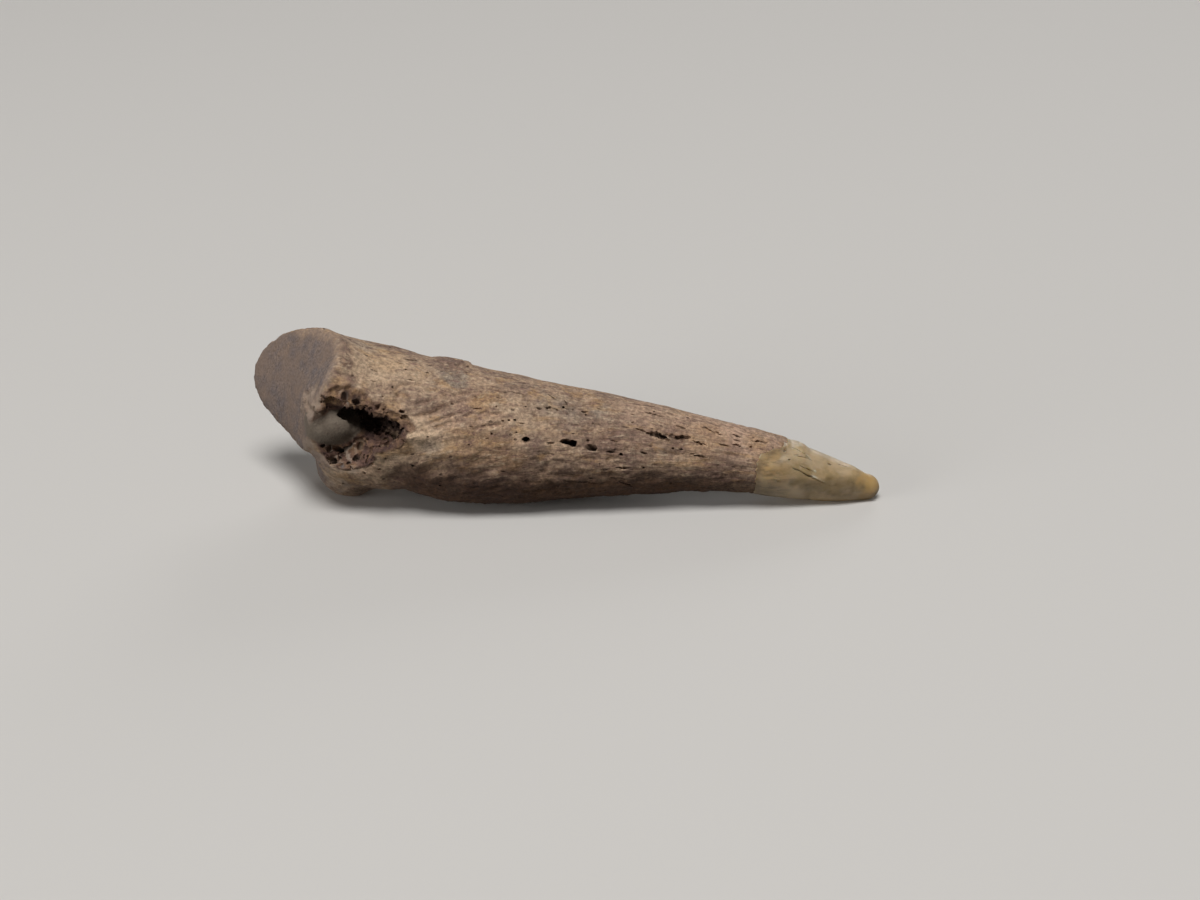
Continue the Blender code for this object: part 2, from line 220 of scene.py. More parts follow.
# Its raised scratches, which get a painted highlight: (x, y, z, half width).
TIP_SCRATCHES = [
    [(14.55, -3.62, 3.10, 0.055), (15.60, -3.58, 2.48, 0.075), (16.75, -3.48, 1.84, 0.045)],
    [(14.50, -2.60, 3.52, 0.045), (15.70, -2.79, 3.36, 0.055)],
    [(14.20, -3.45, 3.05, 0.08), (14.45, -3.40, 3.02, 0.06)],
    [(13.55, -3.95, 2.38, 0.08), (13.80, -3.93, 2.20, 0.06)],
    [(15.20, -3.35, 2.95, 0.05), (16.10, -3.40, 2.56, 0.06)],
]
SCRATCH_HEIGHT = 0.035
TIP_LUMP = 0.024                       # unevenness of the tip's skin
TIP_PIT_DEPTH = 0.10
TIP_PITS = [
    ((14.14, -2.99, 3.82), 0.24, 0.20), ((17.06, -2.70, 2.69), 0.30, 0.16),
    ((14.35, -3.29, 3.26), 0.16, 0.12), ((13.10, -3.95, 2.05), 0.12, 0.10),
]

# Pores that run into the bone: (x, y, z), length, width.
PORES = [
    ((-2.14, -4.44, 5.50), 0.54, 0.40),
    ((0.76, -4.32, 5.17), 0.56, 0.50),
    ((1.96, -4.36, 4.86), 0.70, 0.42),
    ((3.77, -4.38, 4.35), 0.28, 0.22),
    ((5.21, -4.40, 3.44), 0.20, 0.18),
    ((-1.33, -2.90, 6.99), 0.32, 0.26),
    ((0.21, -2.61, 6.90), 0.19, 0.16),
    ((1.61, -2.98, 6.50), 0.17, 0.14),
    ((7.04, -3.96, 4.55), 0.20, 0.14),
    ((7.58, -3.94, 4.47), 0.20, 0.14),
    ((-9.66, -1.58, 9.17), 0.20, 0.14),
    ((-9.81, -4.02, 7.37), 0.40, 0.22),
    ((-9.25, -4.68, 3.92), 0.26, 0.20),
    ((-3.56, -3.89, 6.58), 0.20, 0.13),
    ((-3.19, -3.81, 6.60), 0.17, 0.13),
    ((-2.82, -3.77, 6.58), 0.18, 0.13),
    ((-3.62, -4.07, 6.38), 0.17, 0.13),
    ((-13.32, -3.88, 8.50), 0.44, 0.44),
    ((-12.62, -3.97, 8.17), 0.52, 0.38),
    ((-14.40, -3.90, 8.09), 0.24, 0.20),
    ((-13.24, -4.10, 7.97), 0.28, 0.22),
    ((-13.81, -3.00, 1.92), 0.38, 0.32),
    ((-14.96, -3.45, 4.82), 0.38, 0.31),
    ((-14.07, -3.17, 4.47), 0.50, 0.38),
    ((-14.49, -3.60, 3.97), 0.57, 0.44),
    ((-12.92, -3.55, 4.00), 0.44, 0.38),
    ((-11.35, -4.48, 3.62), 0.27, 0.20),
    ((-11.79, -4.55, 4.05), 0.26, 0.20),
    ((-12.35, -4.13, 3.22), 0.22, 0.20),
    ((-10.90, -4.67, 4.50), 0.20, 0.19),
]
# Slits in the grain: (x, y, z), length, width, turn in degrees from +X towards the top.
SLITS = [
    ((-0.60, -4.40, 5.25), 0.46, 0.13, -1),
    ((0.40, -4.30, 5.28), 0.90, 0.36, -8),
    ((3.18, -4.37, 4.56), 0.62, 0.13, -8),
    ((5.22, -4.23, 4.40), 0.56, 0.13, -15),
    ((-0.52, -1.88, 7.28), 0.76, 0.12, -45),
    ((1.52, -2.76, 6.64), 0.48, 0.12, -5),
    ((5.04, -1.33, 6.40), 2.00, 0.09, 0),
    ((7.62, -2.83, 5.55), 0.66, 0.13, -17),
    ((10.27, -3.49, 4.53), 0.70, 0.12, -10),
    ((2.23, -3.43, 6.09), 0.54, 0.09, -2),
    ((3.54, -4.42, 2.72), 1.10, 0.09, -5),
    ((0.35, -2.22, 7.04), 0.52, 0.13, -63),
]
# Cracks: start, end, width, number of cuts in the chain.
CRACKS = [
    ((4.76, -3.44, 5.66), (5.30, -3.45, 5.54), 0.11, 2),
    ((5.42, -3.46, 5.53), (6.85, -3.63, 5.06), 0.35, 6),
    ((5.60, -3.47, 5.46), (6.50, -3.58, 5.20), 0.30, 3),
    ((6.60, -3.46, 5.29), (8.10, -3.48, 4.99), 0.30, 5),
    ((-0.86, -2.84, 6.93), (-0.58, -2.74, 6.97), 0.17, 2),
    ((-0.55, -2.72, 6.97), (-0.12, -2.88, 6.82), 0.12, 3),
    ((8.96, -2.56, 5.39), (10.16, -2.88, 5.00), 0.13, 6),
    ((8.33, -3.53, 4.87), (9.12, -3.62, 4.61), 0.13, 4),
    ((8.16, -4.01, 4.16), (9.26, -3.99, 3.89), 0.12, 5),
    ((12.05, -2.94, 4.54), (13.01, -2.83, 4.30), 0.11, 4),
    ((10.88, -2.76, 4.91), (11.38, -2.83, 4.76), 0.13, 3),
    ((10.85, -3.36, 4.53), (11.35, -3.39, 4.40), 0.12, 3),
    ((3.45, -4.51, 3.58), (4.52, -4.44, 3.40), 0.13, 5),
    ((0.11, -4.60, 2.70), (2.43, -4.38, 2.35), 0.09, 9),
    ((5.34, -2.10, 6.25), (6.60, -2.27, 5.97), 0.12, 5),
    ((-3.22, -1.91, 7.75), (-2.27, -2.07, 7.53), 0.08, 4),
    ((-9.85, -0.50, 9.44), (-9.05, -0.35, 9.23), 0.15, 4),
    ((3.63, -4.35, 2.46), (4.58, -4.09, 1.96), 0.10, 4),
    ((5.66, -3.49, 5.45), (6.60, -3.60, 5.14), 0.19, 1),
    ((6.75, -3.46, 5.26), (7.75, -3.48, 5.06), 0.13, 1),
]
# Wrinkles beside the break, which climb towards the tip: (x, y, z, half width).
WRINKLES = [
    [(-10.2, -3.60, 8.00, 0.10), (-9.90, -3.20, 8.50, 0.14), (-9.00, -3.00, 8.55, 0.14),
     (-8.70, -3.40, 8.10, 0.10)],
    [(-9.20, -3.70, 7.75, 0.10), (-8.30, -3.60, 7.80, 0.14), (-7.60, -3.30, 8.02, 0.10)],
    [(-8.80, -4.15, 7.15, 0.12), (-8.00, -4.05, 7.22, 0.14), (-7.50, -3.85, 7.45, 0.10)],
    [(-8.30, -4.10, 7.10, 0.14), (-7.10, -3.85, 7.40, 0.20), (-5.90, -3.40, 7.52, 0.12)],
    [(-8.20, -4.45, 6.70, 0.10), (-7.20, -4.15, 7.00, 0.16), (-6.10, -3.85, 7.14, 0.10)],
    [(-7.00, -3.60, 7.60, 0.08), (-5.80, -3.15, 7.74, 0.13), (-4.60, -2.70, 7.68, 0.08)],
    [(-5.90, -4.10, 6.98, 0.08), (-4.80, -3.80, 7.02, 0.13), (-3.60, -3.50, 6.94, 0.08)],
    [(-7.60, -3.85, 7.48, 0.12), (-6.40, -3.40, 7.68, 0.18), (-5.20, -2.95, 7.68, 0.12)],
    [(-6.60, -4.20, 6.92, 0.12), (-5.60, -3.95, 7.08, 0.18), (-4.60, -3.60, 7.06, 0.12)],
    [(-7.80, -4.50, 6.45, 0.12), (-6.90, -4.35, 6.68, 0.16), (-6.00, -4.15, 6.80, 0.10)],
    [(-10.3, -3.05, 8.50, 0.12), (-9.60, -2.75, 8.66, 0.16), (-8.80, -2.50, 8.58, 0.10)],
    [(-5.40, -4.40, 6.30, 0.10), (-4.40, -4.20, 6.45, 0.15), (-3.40, -4.00, 6.42, 0.10)],
    [(-6.60, -3.00, 7.98, 0.10), (-5.60, -2.60, 7.98, 0.15), (-4.70, -2.30, 7.86, 0.10)],
]
WRINKLE_DEPTH = 0.16
WALL_CRUMBLE = 0.17                    # unevenness of the break's walls
FACE_GRIT = 0.012                      # unevenness of the joint face
CELL_GRID = 0.06                       # cell size that the spongy cells are merged at
BEVEL_CELL_SHARE = 0.55                # how large the cells are on the bevel beside the others
PORE_DEPTH_RATIO = 1.9                 # depth of a pore or slit beside its width
PORE_FALL = -6                         # degrees that the placed pores run down from the grain
SMALL_PORE_DEPTH_RATIO = 1.4
ROUND_PORE_SHARE = 0.35                # of the strewn ones; the rest are slits
# A crack wider than this is a shallow wedge, and a thinner one is deep for its width.
WEDGE_WIDTH = 0.2
WEDGE_DEPTH_RATIO = 1.05
CRACK_DEPTH_RATIO = 1.5
TIP_CRACK_DEPTH_RATIO = 1.3


class ClawBoneSettings(bpy.types.PropertyGroup):
    skin_cell: FloatProperty(
        name="Skin Cell", description="Cell size of the bone's remeshed skin",
        default=0.14 * MM, unit="LENGTH", precision=5)
    soften_passes: IntProperty(
        name="Soften Passes", description="Smoothing passes over the outer skin", default=18)
    lump_height: FloatProperty(
        name="Lump Height", description="Height of the broad swells of the outer skin",
        default=0.05 * MM, unit="LENGTH", precision=5)
    strand_height: FloatProperty(
        name="Strand Height", description="Height of the bone's long strands",
        default=0.105 * MM, unit="LENGTH", precision=5)
    crease_depth: FloatProperty(
        name="Crease Depth", description="Depth of the creases between the strands",
        default=0.09 * MM, unit="LENGTH", precision=5)
    cell_count: IntProperty(
        name="Cell Count", description="Open cells in the break's spongy walls", default=270)
    cell_radius: FloatProperty(
        name="Cell Radius", description="Mean radius of an open cell",
        default=0.17 * MM, unit="LENGTH", precision=5)
    pore_count: IntProperty(
        name="Pore Count", description="Small pores and slits strewn over the whole bone",
        default=170)
    tan: FloatVectorProperty(
        name="Tan", description="Main colour of the outer skin",
        default=(0.45, 0.305, 0.20), subtype="COLOR", size=3)
    mauve: FloatVectorProperty(
        name="Mauve", description="Colour of the browner patches",
        default=(0.25, 0.165, 0.118), subtype="COLOR", size=3)
    ochre: FloatVectorProperty(
        name="Ochre", description="Colour of the iron stains",
        default=(0.42, 0.25, 0.115), subtype="COLOR", size=3)
    grey: FloatVectorProperty(
        name="Grey", description="Colour of the grey patches",
        default=(0.30, 0.26, 0.21), subtype="COLOR", size=3)
    rose: FloatVectorProperty(
        name="Rose", description="Colour of the pink patches",
        default=(0.54, 0.355, 0.25), subtype="COLOR", size=3)
    # also used for painted light on the heel
    pale: FloatVectorProperty(
        name="Pale", description="Colour of the bleached patches",
        default=(0.60, 0.43, 0.285), subtype="COLOR", size=3)
    brown: FloatVectorProperty(
        name="Brown", description="Colour of the dark brown stains",
        default=(0.18, 0.102, 0.08), subtype="COLOR", size=3)
    # painted shade in the deep end of the break's hollow and in the bevel's two holes
    hollow_shade_colour: FloatVectorProperty(
        name="Umber", description="Colour inside the slits and pores",
        default=(0.035, 0.02, 0.014), subtype="COLOR", size=3)
    joint_brown: FloatVectorProperty(
        name="Joint Brown", description="Main colour of the joint face",
        default=(0.20, 0.15, 0.125), subtype="COLOR", size=3)
    sponge_brown: FloatVectorProperty(
        name="Sponge Brown", description="Colour of the break's spongy walls",
        default=(0.155, 0.085, 0.06), subtype="COLOR", size=3)


class ClawTipSettings(bpy.types.PropertyGroup):
    skin_cell: FloatProperty(
        name="Skin Cell", description="Cell size of the tip's remeshed skin",
        default=0.08 * MM, unit="LENGTH", precision=5)
    wax: FloatVectorProperty(
        name="Wax", description="Main colour of the clear tip",
        default=(0.70, 0.52, 0.30), subtype="COLOR", size=3)
    # also the painted glow of light along the tip's lower edge
    amber_and_edge_glow: FloatVectorProperty(
        name="Amber", description="Colour of its very end and of its yellow stains",
        default=(0.69, 0.45, 0.17), subtype="COLOR", size=3)
    cloud: FloatVectorProperty(
        name="Cloud", description="Colour of the cloudy patches",
        default=(0.74, 0.58, 0.385), subtype="COLOR", size=3)
    smoke: FloatVectorProperty(
        name="Smoke", description="Colour of the dark band along its side",
        default=(0.17, 0.115, 0.05), subtype="COLOR", size=3)
    transmission: FloatProperty(
        name="Transmission", description="Share of light that passes into the tip",
        default=0.30, subtype="FACTOR")
    ior: FloatProperty(name="IOR", description="How strongly the tip bends light", default=1.5)


class StageSettings(bpy.types.PropertyGroup):
    floor_size: FloatProperty(
        name="Floor Size", description="Side of the floor", default=1.2, unit="LENGTH")
    floor_colour: FloatVectorProperty(
        name="Floor Colour", description="Colour of the floor",
        default=(0.665, 0.642, 0.611), subtype="COLOR", size=3)
    key_power: FloatProperty(
        name="Key Power", description="Strength of the key light", default=5.05, unit="POWER")
    side_power: FloatProperty(
        name="Side Power", description="Strength of the light on the joint face",
        default=1.9, unit="POWER")
    back_power: FloatProperty(
        name="Back Power", description="Strength of the light on the far side",
        default=1.2, unit="POWER")
    sky_strength: FloatProperty(
        name="Sky Strength", description="Strength of the light from all round", default=0.07)


# Mesh helpers

CUT_RAGGED = 0.28                      # unevenness of a pore's outline, as a share of its size
SHALLOWEST_CRACK = 0.09
CRACK_WANDER = 0.3                     # sideways in widths, and in radians of turn


def select_only(item):
    bpy.ops.object.select_all(action="DESELECT")
    item.select_set(True)
    bpy.context.view_layer.objects.active = item


def copy_of(node, name):
    """A merged copy of a CAD node's mesh, as a new piece."""
    piece = bpy.data.objects.new(name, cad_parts[node].data.copy())
    bpy.context.scene.collection.objects.link(piece)
    piece.data.materials.clear()
    select_only(piece)
    bpy.ops.object.mode_set(mode="EDIT")
    bpy.ops.mesh.select_all(action="SELECT")
    bpy.ops.mesh.remove_doubles(threshold=0.001 * MM)
    bpy.ops.object.mode_set(mode="OBJECT")
    bpy.ops.mesh.customdata_custom_splitnormals_clear()
    return piece


def apply_modifier(item, kind, **settings):
    step = item.modifiers.new(kind.lower(), kind)
    for name, value in settings.items():
        setattr(step, name, value)
    select_only(item)
    bpy.ops.object.modifier_apply(modifier=step.name)


def remesh(item, cell):
    apply_modifier(item, "REMESH", mode="VOXEL", voxel_size=cell, use_smooth_shade=True)


def carve(item, cutter):
    apply_modifier(item, "BOOLEAN", operation="DIFFERENCE", solver="MANIFOLD", object=cutter)
    bpy.data.objects.remove(cutter, do_unlink=True)


def join(items, name):
    bpy.ops.object.select_all(action="DESELECT")
    for item in items:
        item.select_set(True)
    bpy.context.view_layer.objects.active = items[0]
    bpy.ops.object.join()
    joined = bpy.context.view_layer.objects.active
    joined.name = name
    return joined


def bisect(item, x, keep_far):
    """Cuts a piece across at x, in millimetres, and closes the cut."""
    select_only(item)
    bpy.ops.object.mode_set(mode="EDIT")
    bpy.ops.mesh.select_all(action="SELECT")
    bpy.ops.mesh.bisect(plane_co=(x * MM, 0, 0), plane_no=(1, 0, 0), use_fill=True,
                        clear_inner=keep_far, clear_outer=not keep_far)
    bpy.ops.object.mode_set(mode="OBJECT")


def points_of(item):
    """The vertices of a piece in millimetres, one row each."""
    flat = np.empty(len(item.data.vertices) * 3, np.float64)
    item.data.vertices.foreach_get("co", flat)
    return flat.reshape(-1, 3) / MM


def place_points(item, points):
    item.data.vertices.foreach_set("co", (points * MM).ravel())
    item.data.update()


def normals_of(item):
    flat = np.empty(len(item.data.vertices) * 3, np.float64)
    item.data.vertices.foreach_get("normal", flat)
    return flat.reshape(-1, 3)


def smooth_between(values, low, high):
    share = np.clip((values - low) / (high - low), 0, 1)
    return share * share * (3 - 2 * share)


def paint(item, name, values):
    """Stores one number for each vertex, for the materials to read."""
    layer = item.data.attributes.get(name) or item.data.attributes.new(name, "FLOAT", "POINT")
    layer.data.foreach_set("value", np.asarray(values, np.float32))


def weigh(item, name, values):
    """Stores one weight for each vertex, for the modifiers to read."""
    group = item.vertex_groups.new(name=name)
    for index, value in enumerate(values):
        group.add((index,), float(value), "REPLACE")


def raise_skin(item, heights):
    """Moves each vertex along its normal by its own height, in millimetres."""
    for sign in (1, -1):
        part = np.maximum(heights * sign, 0)
        most = float(part.max())
        if most > 0:
            weigh(item, "height", part / most)
            apply_modifier(item, "DISPLACE", vertex_group="height", mid_level=0.0,
                           strength=sign * most * MM)
            item.vertex_groups.clear()


def rest_on_floor(item):
    """Keeps a piece on the surface that it lies on."""
    points = points_of(item)
    points[:, 2] = np.maximum(points[:, 2], 0)
    place_points(item, points)


def distance_to(points, others):
    """How far each point is from the nearest of some others."""
    tree = KDTree(len(others))
    for index, other in enumerate(others):
        tree.insert(other, index)
    tree.balance()
    return np.array([tree.find(point)[2] for point in points])


def centre_line_at(points):
    """The claw's middle in Y and Z and its mean radius, beside each point."""
    line = np.array(CENTRE_LINE)
    return (np.interp(points[:, 0], line[:, 0], line[:, column]) for column in (1, 2, 3))


def grain_points(points):
    """The points with the claw's taper taken out and the grain's waves put in."""
    middle_y, middle_z, radius = centre_line_at(points)
    mean_radius = np.array(CENTRE_LINE)[:, 3].mean()
    rise = 1.5 * smooth_between(points[:, 0], -10.5, -3.0)    # the grain climbs past the break
    waves = noise_over(points, (0.30, 0.2, 0.2), 12) * 0.16
    return np.column_stack((points[:, 0], (points[:, 1] - middle_y) / radius * mean_radius + waves,
                            (points[:, 2] - middle_z) / radius * mean_radius + waves - rise))


def noise_over(points, scale, seed, octaves=2):
    """Smooth noise from about -1 to 1; scale is (x, y, z) waves in a millimetre."""
    shift = Vector((seed * 17.3, seed * 5.1, seed * 11.7))
    return np.array([noise.fractal(Vector(point * scale) + shift, 0.6, 2.0, octaves)
                     for point in points])


def inside_ball(points, middle, half_lengths, skin):
    """1 within an ellipsoid grown by skin, fading to 0 over another skin."""
    away = (points - middle) / (np.array(half_lengths) + skin)
    reach = np.linalg.norm(away, axis=1)
    return 1 - smooth_between(reach, 1.0, 1.0 + skin / min(half_lengths))


def inside_rod(points, skin):
    """1 within the break's tapering hollow grown by skin."""
    mouth, apex = np.array(BREAK_MOUTH), np.array(BREAK_APEX)
    span = apex - mouth
    share = (points - mouth) @ span / (span @ span)
    middle = mouth + np.clip(share, 0, 1)[:, None] * span
    half = BREAK_MOUTH_HALF_HEIGHT + share * (BREAK_APEX_HALF_HEIGHT - BREAK_MOUTH_HALF_HEIGHT)
    half = np.maximum(half, BREAK_APEX_HALF_HEIGHT)
    away = (points - middle) / np.column_stack(
        (half + skin, half * BREAK_DEPTH_RATIO + skin, half + skin))
    return 1 - smooth_between(np.linalg.norm(away, axis=1), 1.0, 1.15)


def near_line(points, line, skin=0.0, ragged=0.0, core=0.75):
    """1 on a line of (x, y, z, half width), falling from the core share of it to 0."""
    closest = np.full(len(points), 1e6)
    for start, end in zip(line, line[1:]):
        start, end = np.array(start), np.array(end)
        span = end[:3] - start[:3]
        share = np.clip((points - start[:3]) @ span / (span @ span), 0, 1)
        away = np.linalg.norm(points - start[:3] - share[:, None] * span, axis=1)
        width = start[3] + share * (end[3] - start[3]) + skin
        closest = np.minimum(closest, away / width)
    if ragged:
        band = closest < 2.0
        closest[band] += ragged * noise_over(points[band], (1.8, 1.8, 1.8), 21)
    return 1 - smooth_between(closest, core, 1.9 - core)


def swell_heights(points, swells):
    """Soft rounded swells and hollows, in millimetres."""
    total = np.zeros(len(points))
    for middle, half_lengths, height in swells:
        reach = np.linalg.norm((points - middle) / np.array(half_lengths), axis=1)
        total += height * np.maximum(1 - reach * reach, 0) ** 2
    return total


def flake_heights(points):
    """Flat flakes with ragged, steep edges, in millimetres."""
    total = np.zeros(len(points))
    for middle, half_lengths, height in FLAKES:
        reach = np.linalg.norm((points - middle) / np.array(half_lengths), axis=1)
        near = reach < 1.6
        reach[near] += 0.22 * noise_over(points[near], (1.1, 1.1, 1.1), 22)
        total += height * (1 - smooth_between(reach, 0.86, 1.04))
    return total


def stain_share(points, patches, ragged):
    """The strongest of some soft, ragged patches at each point."""
    most = np.zeros(len(points))
    for middle, radius, strength in patches:
        reach = np.linalg.norm(points - middle, axis=1) / radius + 0.45 * ragged
        most = np.maximum(most, strength * (1 - smooth_between(reach, 0.45, 1.15)))
    return most


def film_share(points):
    """1 where the clear film laps over the bone."""
    edge = np.array(FILM_LINE[2:6])
    top = np.interp(points[:, 0], edge[:, 0], edge[:, 1])
    past = smooth_between(points[:, 0], FILM_LINE[1][0], FILM_LINE[1][0] + 0.3)
    return past * (1 - smooth_between(points[:, 2], top - 0.14, top + 0.04))


def whole_end(name, cell):
    """The bone's end and the tip as one solid, with the gap between them closed."""
    stub = copy_of("claw_bone", "stub")
    bisect(stub, STUB_X, keep_far=True)
    end = join([copy_of("claw_tip", name), stub], name)
    remesh(end, cell)
    apply_modifier(end, "DISPLACE", mid_level=0.0, strength=GAP_CLOSING * MM)
    remesh(end, cell)
    apply_modifier(end, "DISPLACE", mid_level=0.0, strength=-GAP_CLOSING * MM)
    along = points_of(end)[:, 0]
    gap = smooth_between(along, 11.9, 12.5) * (1 - smooth_between(along, 15.2, 15.9))
    weigh(end, "gap", 0.12 + 0.88 * gap)
    apply_modifier(end, "SMOOTH", factor=0.5, iterations=70, vertex_group="gap")
    end.vertex_groups.clear()
    raise_skin(end, 0.07 * gap)
    return end


def grain_frame(normal, turn):
    """Length, width and depth directions for a cut that lies in the grain."""
    along = (Vector((1, 0, 0)) - normal * normal.x).normalized()
    across = normal.cross(along)
    angle = math.radians(turn)
    length = along * math.cos(angle) + across * math.sin(angle)
    return length, normal.cross(length), normal


def cut_on(tree, place, length, width, depth, turn, rng, subdivisions=2):
    """A ragged ellipsoid sunk into the skin at a place, as a cutter."""
    spot, normal, _, _ = tree.find_nearest(Vector(place) * MM)
    return cutter_at(spot, grain_frame(normal, turn), length, width, depth, rng, subdivisions)


def cutter_at(spot, axes, length, width, depth, rng, subdivisions=2):
    """A ragged ellipsoid with its own length, width and depth directions, as a cutter."""
    bpy.ops.mesh.primitive_ico_sphere_add(subdivisions=subdivisions, radius=1.0)
    cutter = bpy.context.view_layer.objects.active
    shift = Vector([rng.uniform(-50, 50) for _ in range(3)])
    for vertex in cutter.data.vertices:
        ragged = vertex.co * (1 + CUT_RAGGED * noise.noise(vertex.co * 1.3 + shift))
        vertex.co = spot + (axes[0] * ragged.x * length / 2 + axes[1] * ragged.y * width / 2
                            + axes[2] * ragged.z * depth) * MM
    return cutter


def ball_at(middle, half_lengths, ragged=0.0):
    """A closed ellipsoid, which can be ragged."""
    bpy.ops.mesh.primitive_ico_sphere_add(subdivisions=4, radius=1.0)
    ball = bpy.context.view_layer.objects.active
    points = points_of(ball) * MM
    points *= 1 + ragged * noise_over(points, (1.6, 1.6, 1.6), 61, 3)[:, None]
    place_points(ball, np.array(middle) + points * np.array(half_lengths))
    return ball


def drop_crumbs(item):
    """Deletes the loose bits that carving leaves, and keeps the largest part."""
    name = item.name
    select_only(item)
    bpy.ops.mesh.separate(type="LOOSE")
    parts = sorted(bpy.context.selected_objects, key=lambda part: len(part.data.vertices))
    for crumb in parts[:-1]:
        bpy.data.objects.remove(crumb, do_unlink=True)
    parts[-1].name = name
    return parts[-1]


def crack_cuts(tree, crack, rng, depth_ratio):
    """A chain of thin cuts that wanders from one place to another and thins at both ends."""
    start, end, width, count = crack
    start, end = Vector(start), Vector(end)
    step = (end - start) / count
    cuts = []
    for index in range(count):
        share = (index + 0.5) / count
        spot, normal, _, _ = tree.find_nearest((start + (end - start) * share) * MM)
        along = (step - normal * step.dot(normal)).normalized()
        across = normal.cross(along)
        spot = spot + across * rng.uniform(-CRACK_WANDER, CRACK_WANDER) * width * MM
        turn = rng.uniform(-CRACK_WANDER, CRACK_WANDER)
        length = along * math.cos(turn) + across * math.sin(turn)
        thin = width * (0.45 + 0.75 * math.sin(math.pi * share)) * rng.uniform(0.75, 1.2)
        cuts.append(cutter_at(spot, (length, normal.cross(length), normal),
                              step.length * rng.uniform(1.3, 1.8), thin,
                              max(thin * depth_ratio, SHALLOWEST_CRACK), rng))
    return cuts


def carve_all(item, cutters):
    """Carves in rounds, because the cuts of one round mustn't overlap."""
    rounds = []
    for cutter in cutters:
        points = points_of(cutter)
        low, high = points.min(axis=0), points.max(axis=0)
        free = [one for one in rounds
                if not any(np.all(low < other_high) and np.all(other_low < high)
                           for _, other_low, other_high in one)]
        if not free:
            free = [[]]
            rounds.append(free[0])
        free[0].append((cutter, low, high))
    for one in rounds:
        carve(item, join([cutter for cutter, _, _ in one], "cuts"))


def depth_below(item, tree, full):
    """How far each vertex lies below an earlier skin, from 0 to 1 at the full depth."""
    away = np.array([tree.find_nearest(vertex.co)[3] for vertex in item.data.vertices]) / MM
    return smooth_between(away, 0.03, full)


def skin_tree(item):
    return BVHTree.FromObject(item, bpy.context.evaluated_depsgraph_get())


# Fixed tints, beside the colours that the settings hold

FIBRE_CREAM = (0.60, 0.455, 0.315)
# painted shade in the creases between the strands
CREASE_SHADE = (0.17, 0.10, 0.055)
# painted shade in the finest pinholes
PINHOLE_SHADE = (0.085, 0.05, 0.032)
# painted shade in the pores, slits and cracks, deeper ones darker
PIT_SHADE = (0.048, 0.028, 0.018)
# painted shade on the underside, where little light falls
UNDERSIDE_SHADE = (0.25, 0.195, 0.165)
RIM_TAN = (0.40, 0.305, 0.23)
JOINT_WARM = (0.235, 0.163, 0.12)
JOINT_TINTS = (0.155, 0.125, 0.118), (0.235, 0.165, 0.122)     # blotches, stains
SPONGE_TINTS = (0.075, 0.04, 0.034), (0.27, 0.155, 0.08)
CRUST_TINTS = (0.25, 0.15, 0.092), (0.13, 0.07, 0.05), (0.37, 0.225, 0.115)    # ground first
BALL_TINTS = (0.20, 0.16, 0.12), (0.15, 0.115, 0.085), (0.125, 0.085, 0.062)
HAZE_BROWN = (0.50, 0.365, 0.19)
STREAK_OLIVE = (0.40, 0.29, 0.14)
SUNKEN_BROWN = (0.27, 0.185, 0.10)     # bone streaks under the film
WORN_BROWN = (0.33, 0.225, 0.13)       # the film's worn edge
# painted highlight along the tip's raised scratches
SCRATCH_GLINT = (0.95, 0.86, 0.70)
# painted shade in the tip's cracks and pits
CRACK_SHADE = (0.14, 0.09, 0.045)

# Waves in a millimetre along X, Y and Z: the grain's marks are drawn out along the claw.
BAND_WAVES = (0.45, 1.9, 1.9)
STREAK_WAVES = (1.2, 5.0, 5.0)
FIBRE_WAVES = (3.2, 12.0, 12.0)
SUNKEN_WAVES = (0.9, 3.4, 3.4)
BONE_BUMP = 0.09                       # height of the finest grit and lines, in millimetres
TIP_BUMP = 0.10
SCATTER_RADIUS = (1.0, 0.8, 0.5)       # how much further red light spreads in the tip than blue
SCATTER_REACH = 0.35
DULL_SHINE = 0.35                      # specular level of both finishes


# Material helpers

def add_node(tree, kind, inputs=None, **settings):
    """A node with its settings, and with its inputs linked or set."""
    made = tree.nodes.new(kind)
    for name, value in settings.items():
        setattr(made, name, value)
    for name, value in (inputs or {}).items():
        if isinstance(value, bpy.types.NodeSocket):
            tree.links.new(value, made.inputs[name])
        else:
            made.inputs[name].default_value = value
    return made


def mix_colour(tree, factor, first, second, blend="MIX"):
    """The first colour at a factor of 0 and the second at 1."""
    made = tree.nodes.new("ShaderNodeMix")
    made.data_type = "RGBA"
    made.blend_type = blend
    for index, value in ((0, factor), (6, first), (7, second)):
        if isinstance(value, bpy.types.NodeSocket):
            tree.links.new(value, made.inputs[index])
        elif index:
            made.inputs[index].default_value = (*value[:3], 1.0)
        else:
            made.inputs[index].default_value = value
    return made.outputs[2]


def tinted(tree, colour, shade):
    """A colour made darker or paler by a value."""
    made = add_node(tree, "ShaderNodeVectorMath", {0: colour}, operation="SCALE")
    tree.links.new(shade, made.inputs["Scale"])
    return made.outputs[0]


def calculate(tree, operation, first, second=0.0, clamp=False):
    made = add_node(tree, "ShaderNodeMath", operation=operation, use_clamp=clamp)
    for index, value in ((0, first), (1, second)):
        if isinstance(value, bpy.types.NodeSocket):
            tree.links.new(value, made.inputs[index])
        else:
            made.inputs[index].default_value = value
    return made.outputs[0]


def product(tree, first, second):
    return calculate(tree, "MULTIPLY", first, second)


def ramp(tree, value, low, high, start=0.0, end=1.0):
    """A value from low to high, turned into one from start to end."""
    made = add_node(tree, "ShaderNodeMapRange",
                    {"Value": value, "From Min": low, "From Max": high,
                     "To Min": start, "To Max": end},
                    interpolation_type="SMOOTHSTEP")
    return made.outputs["Result"]


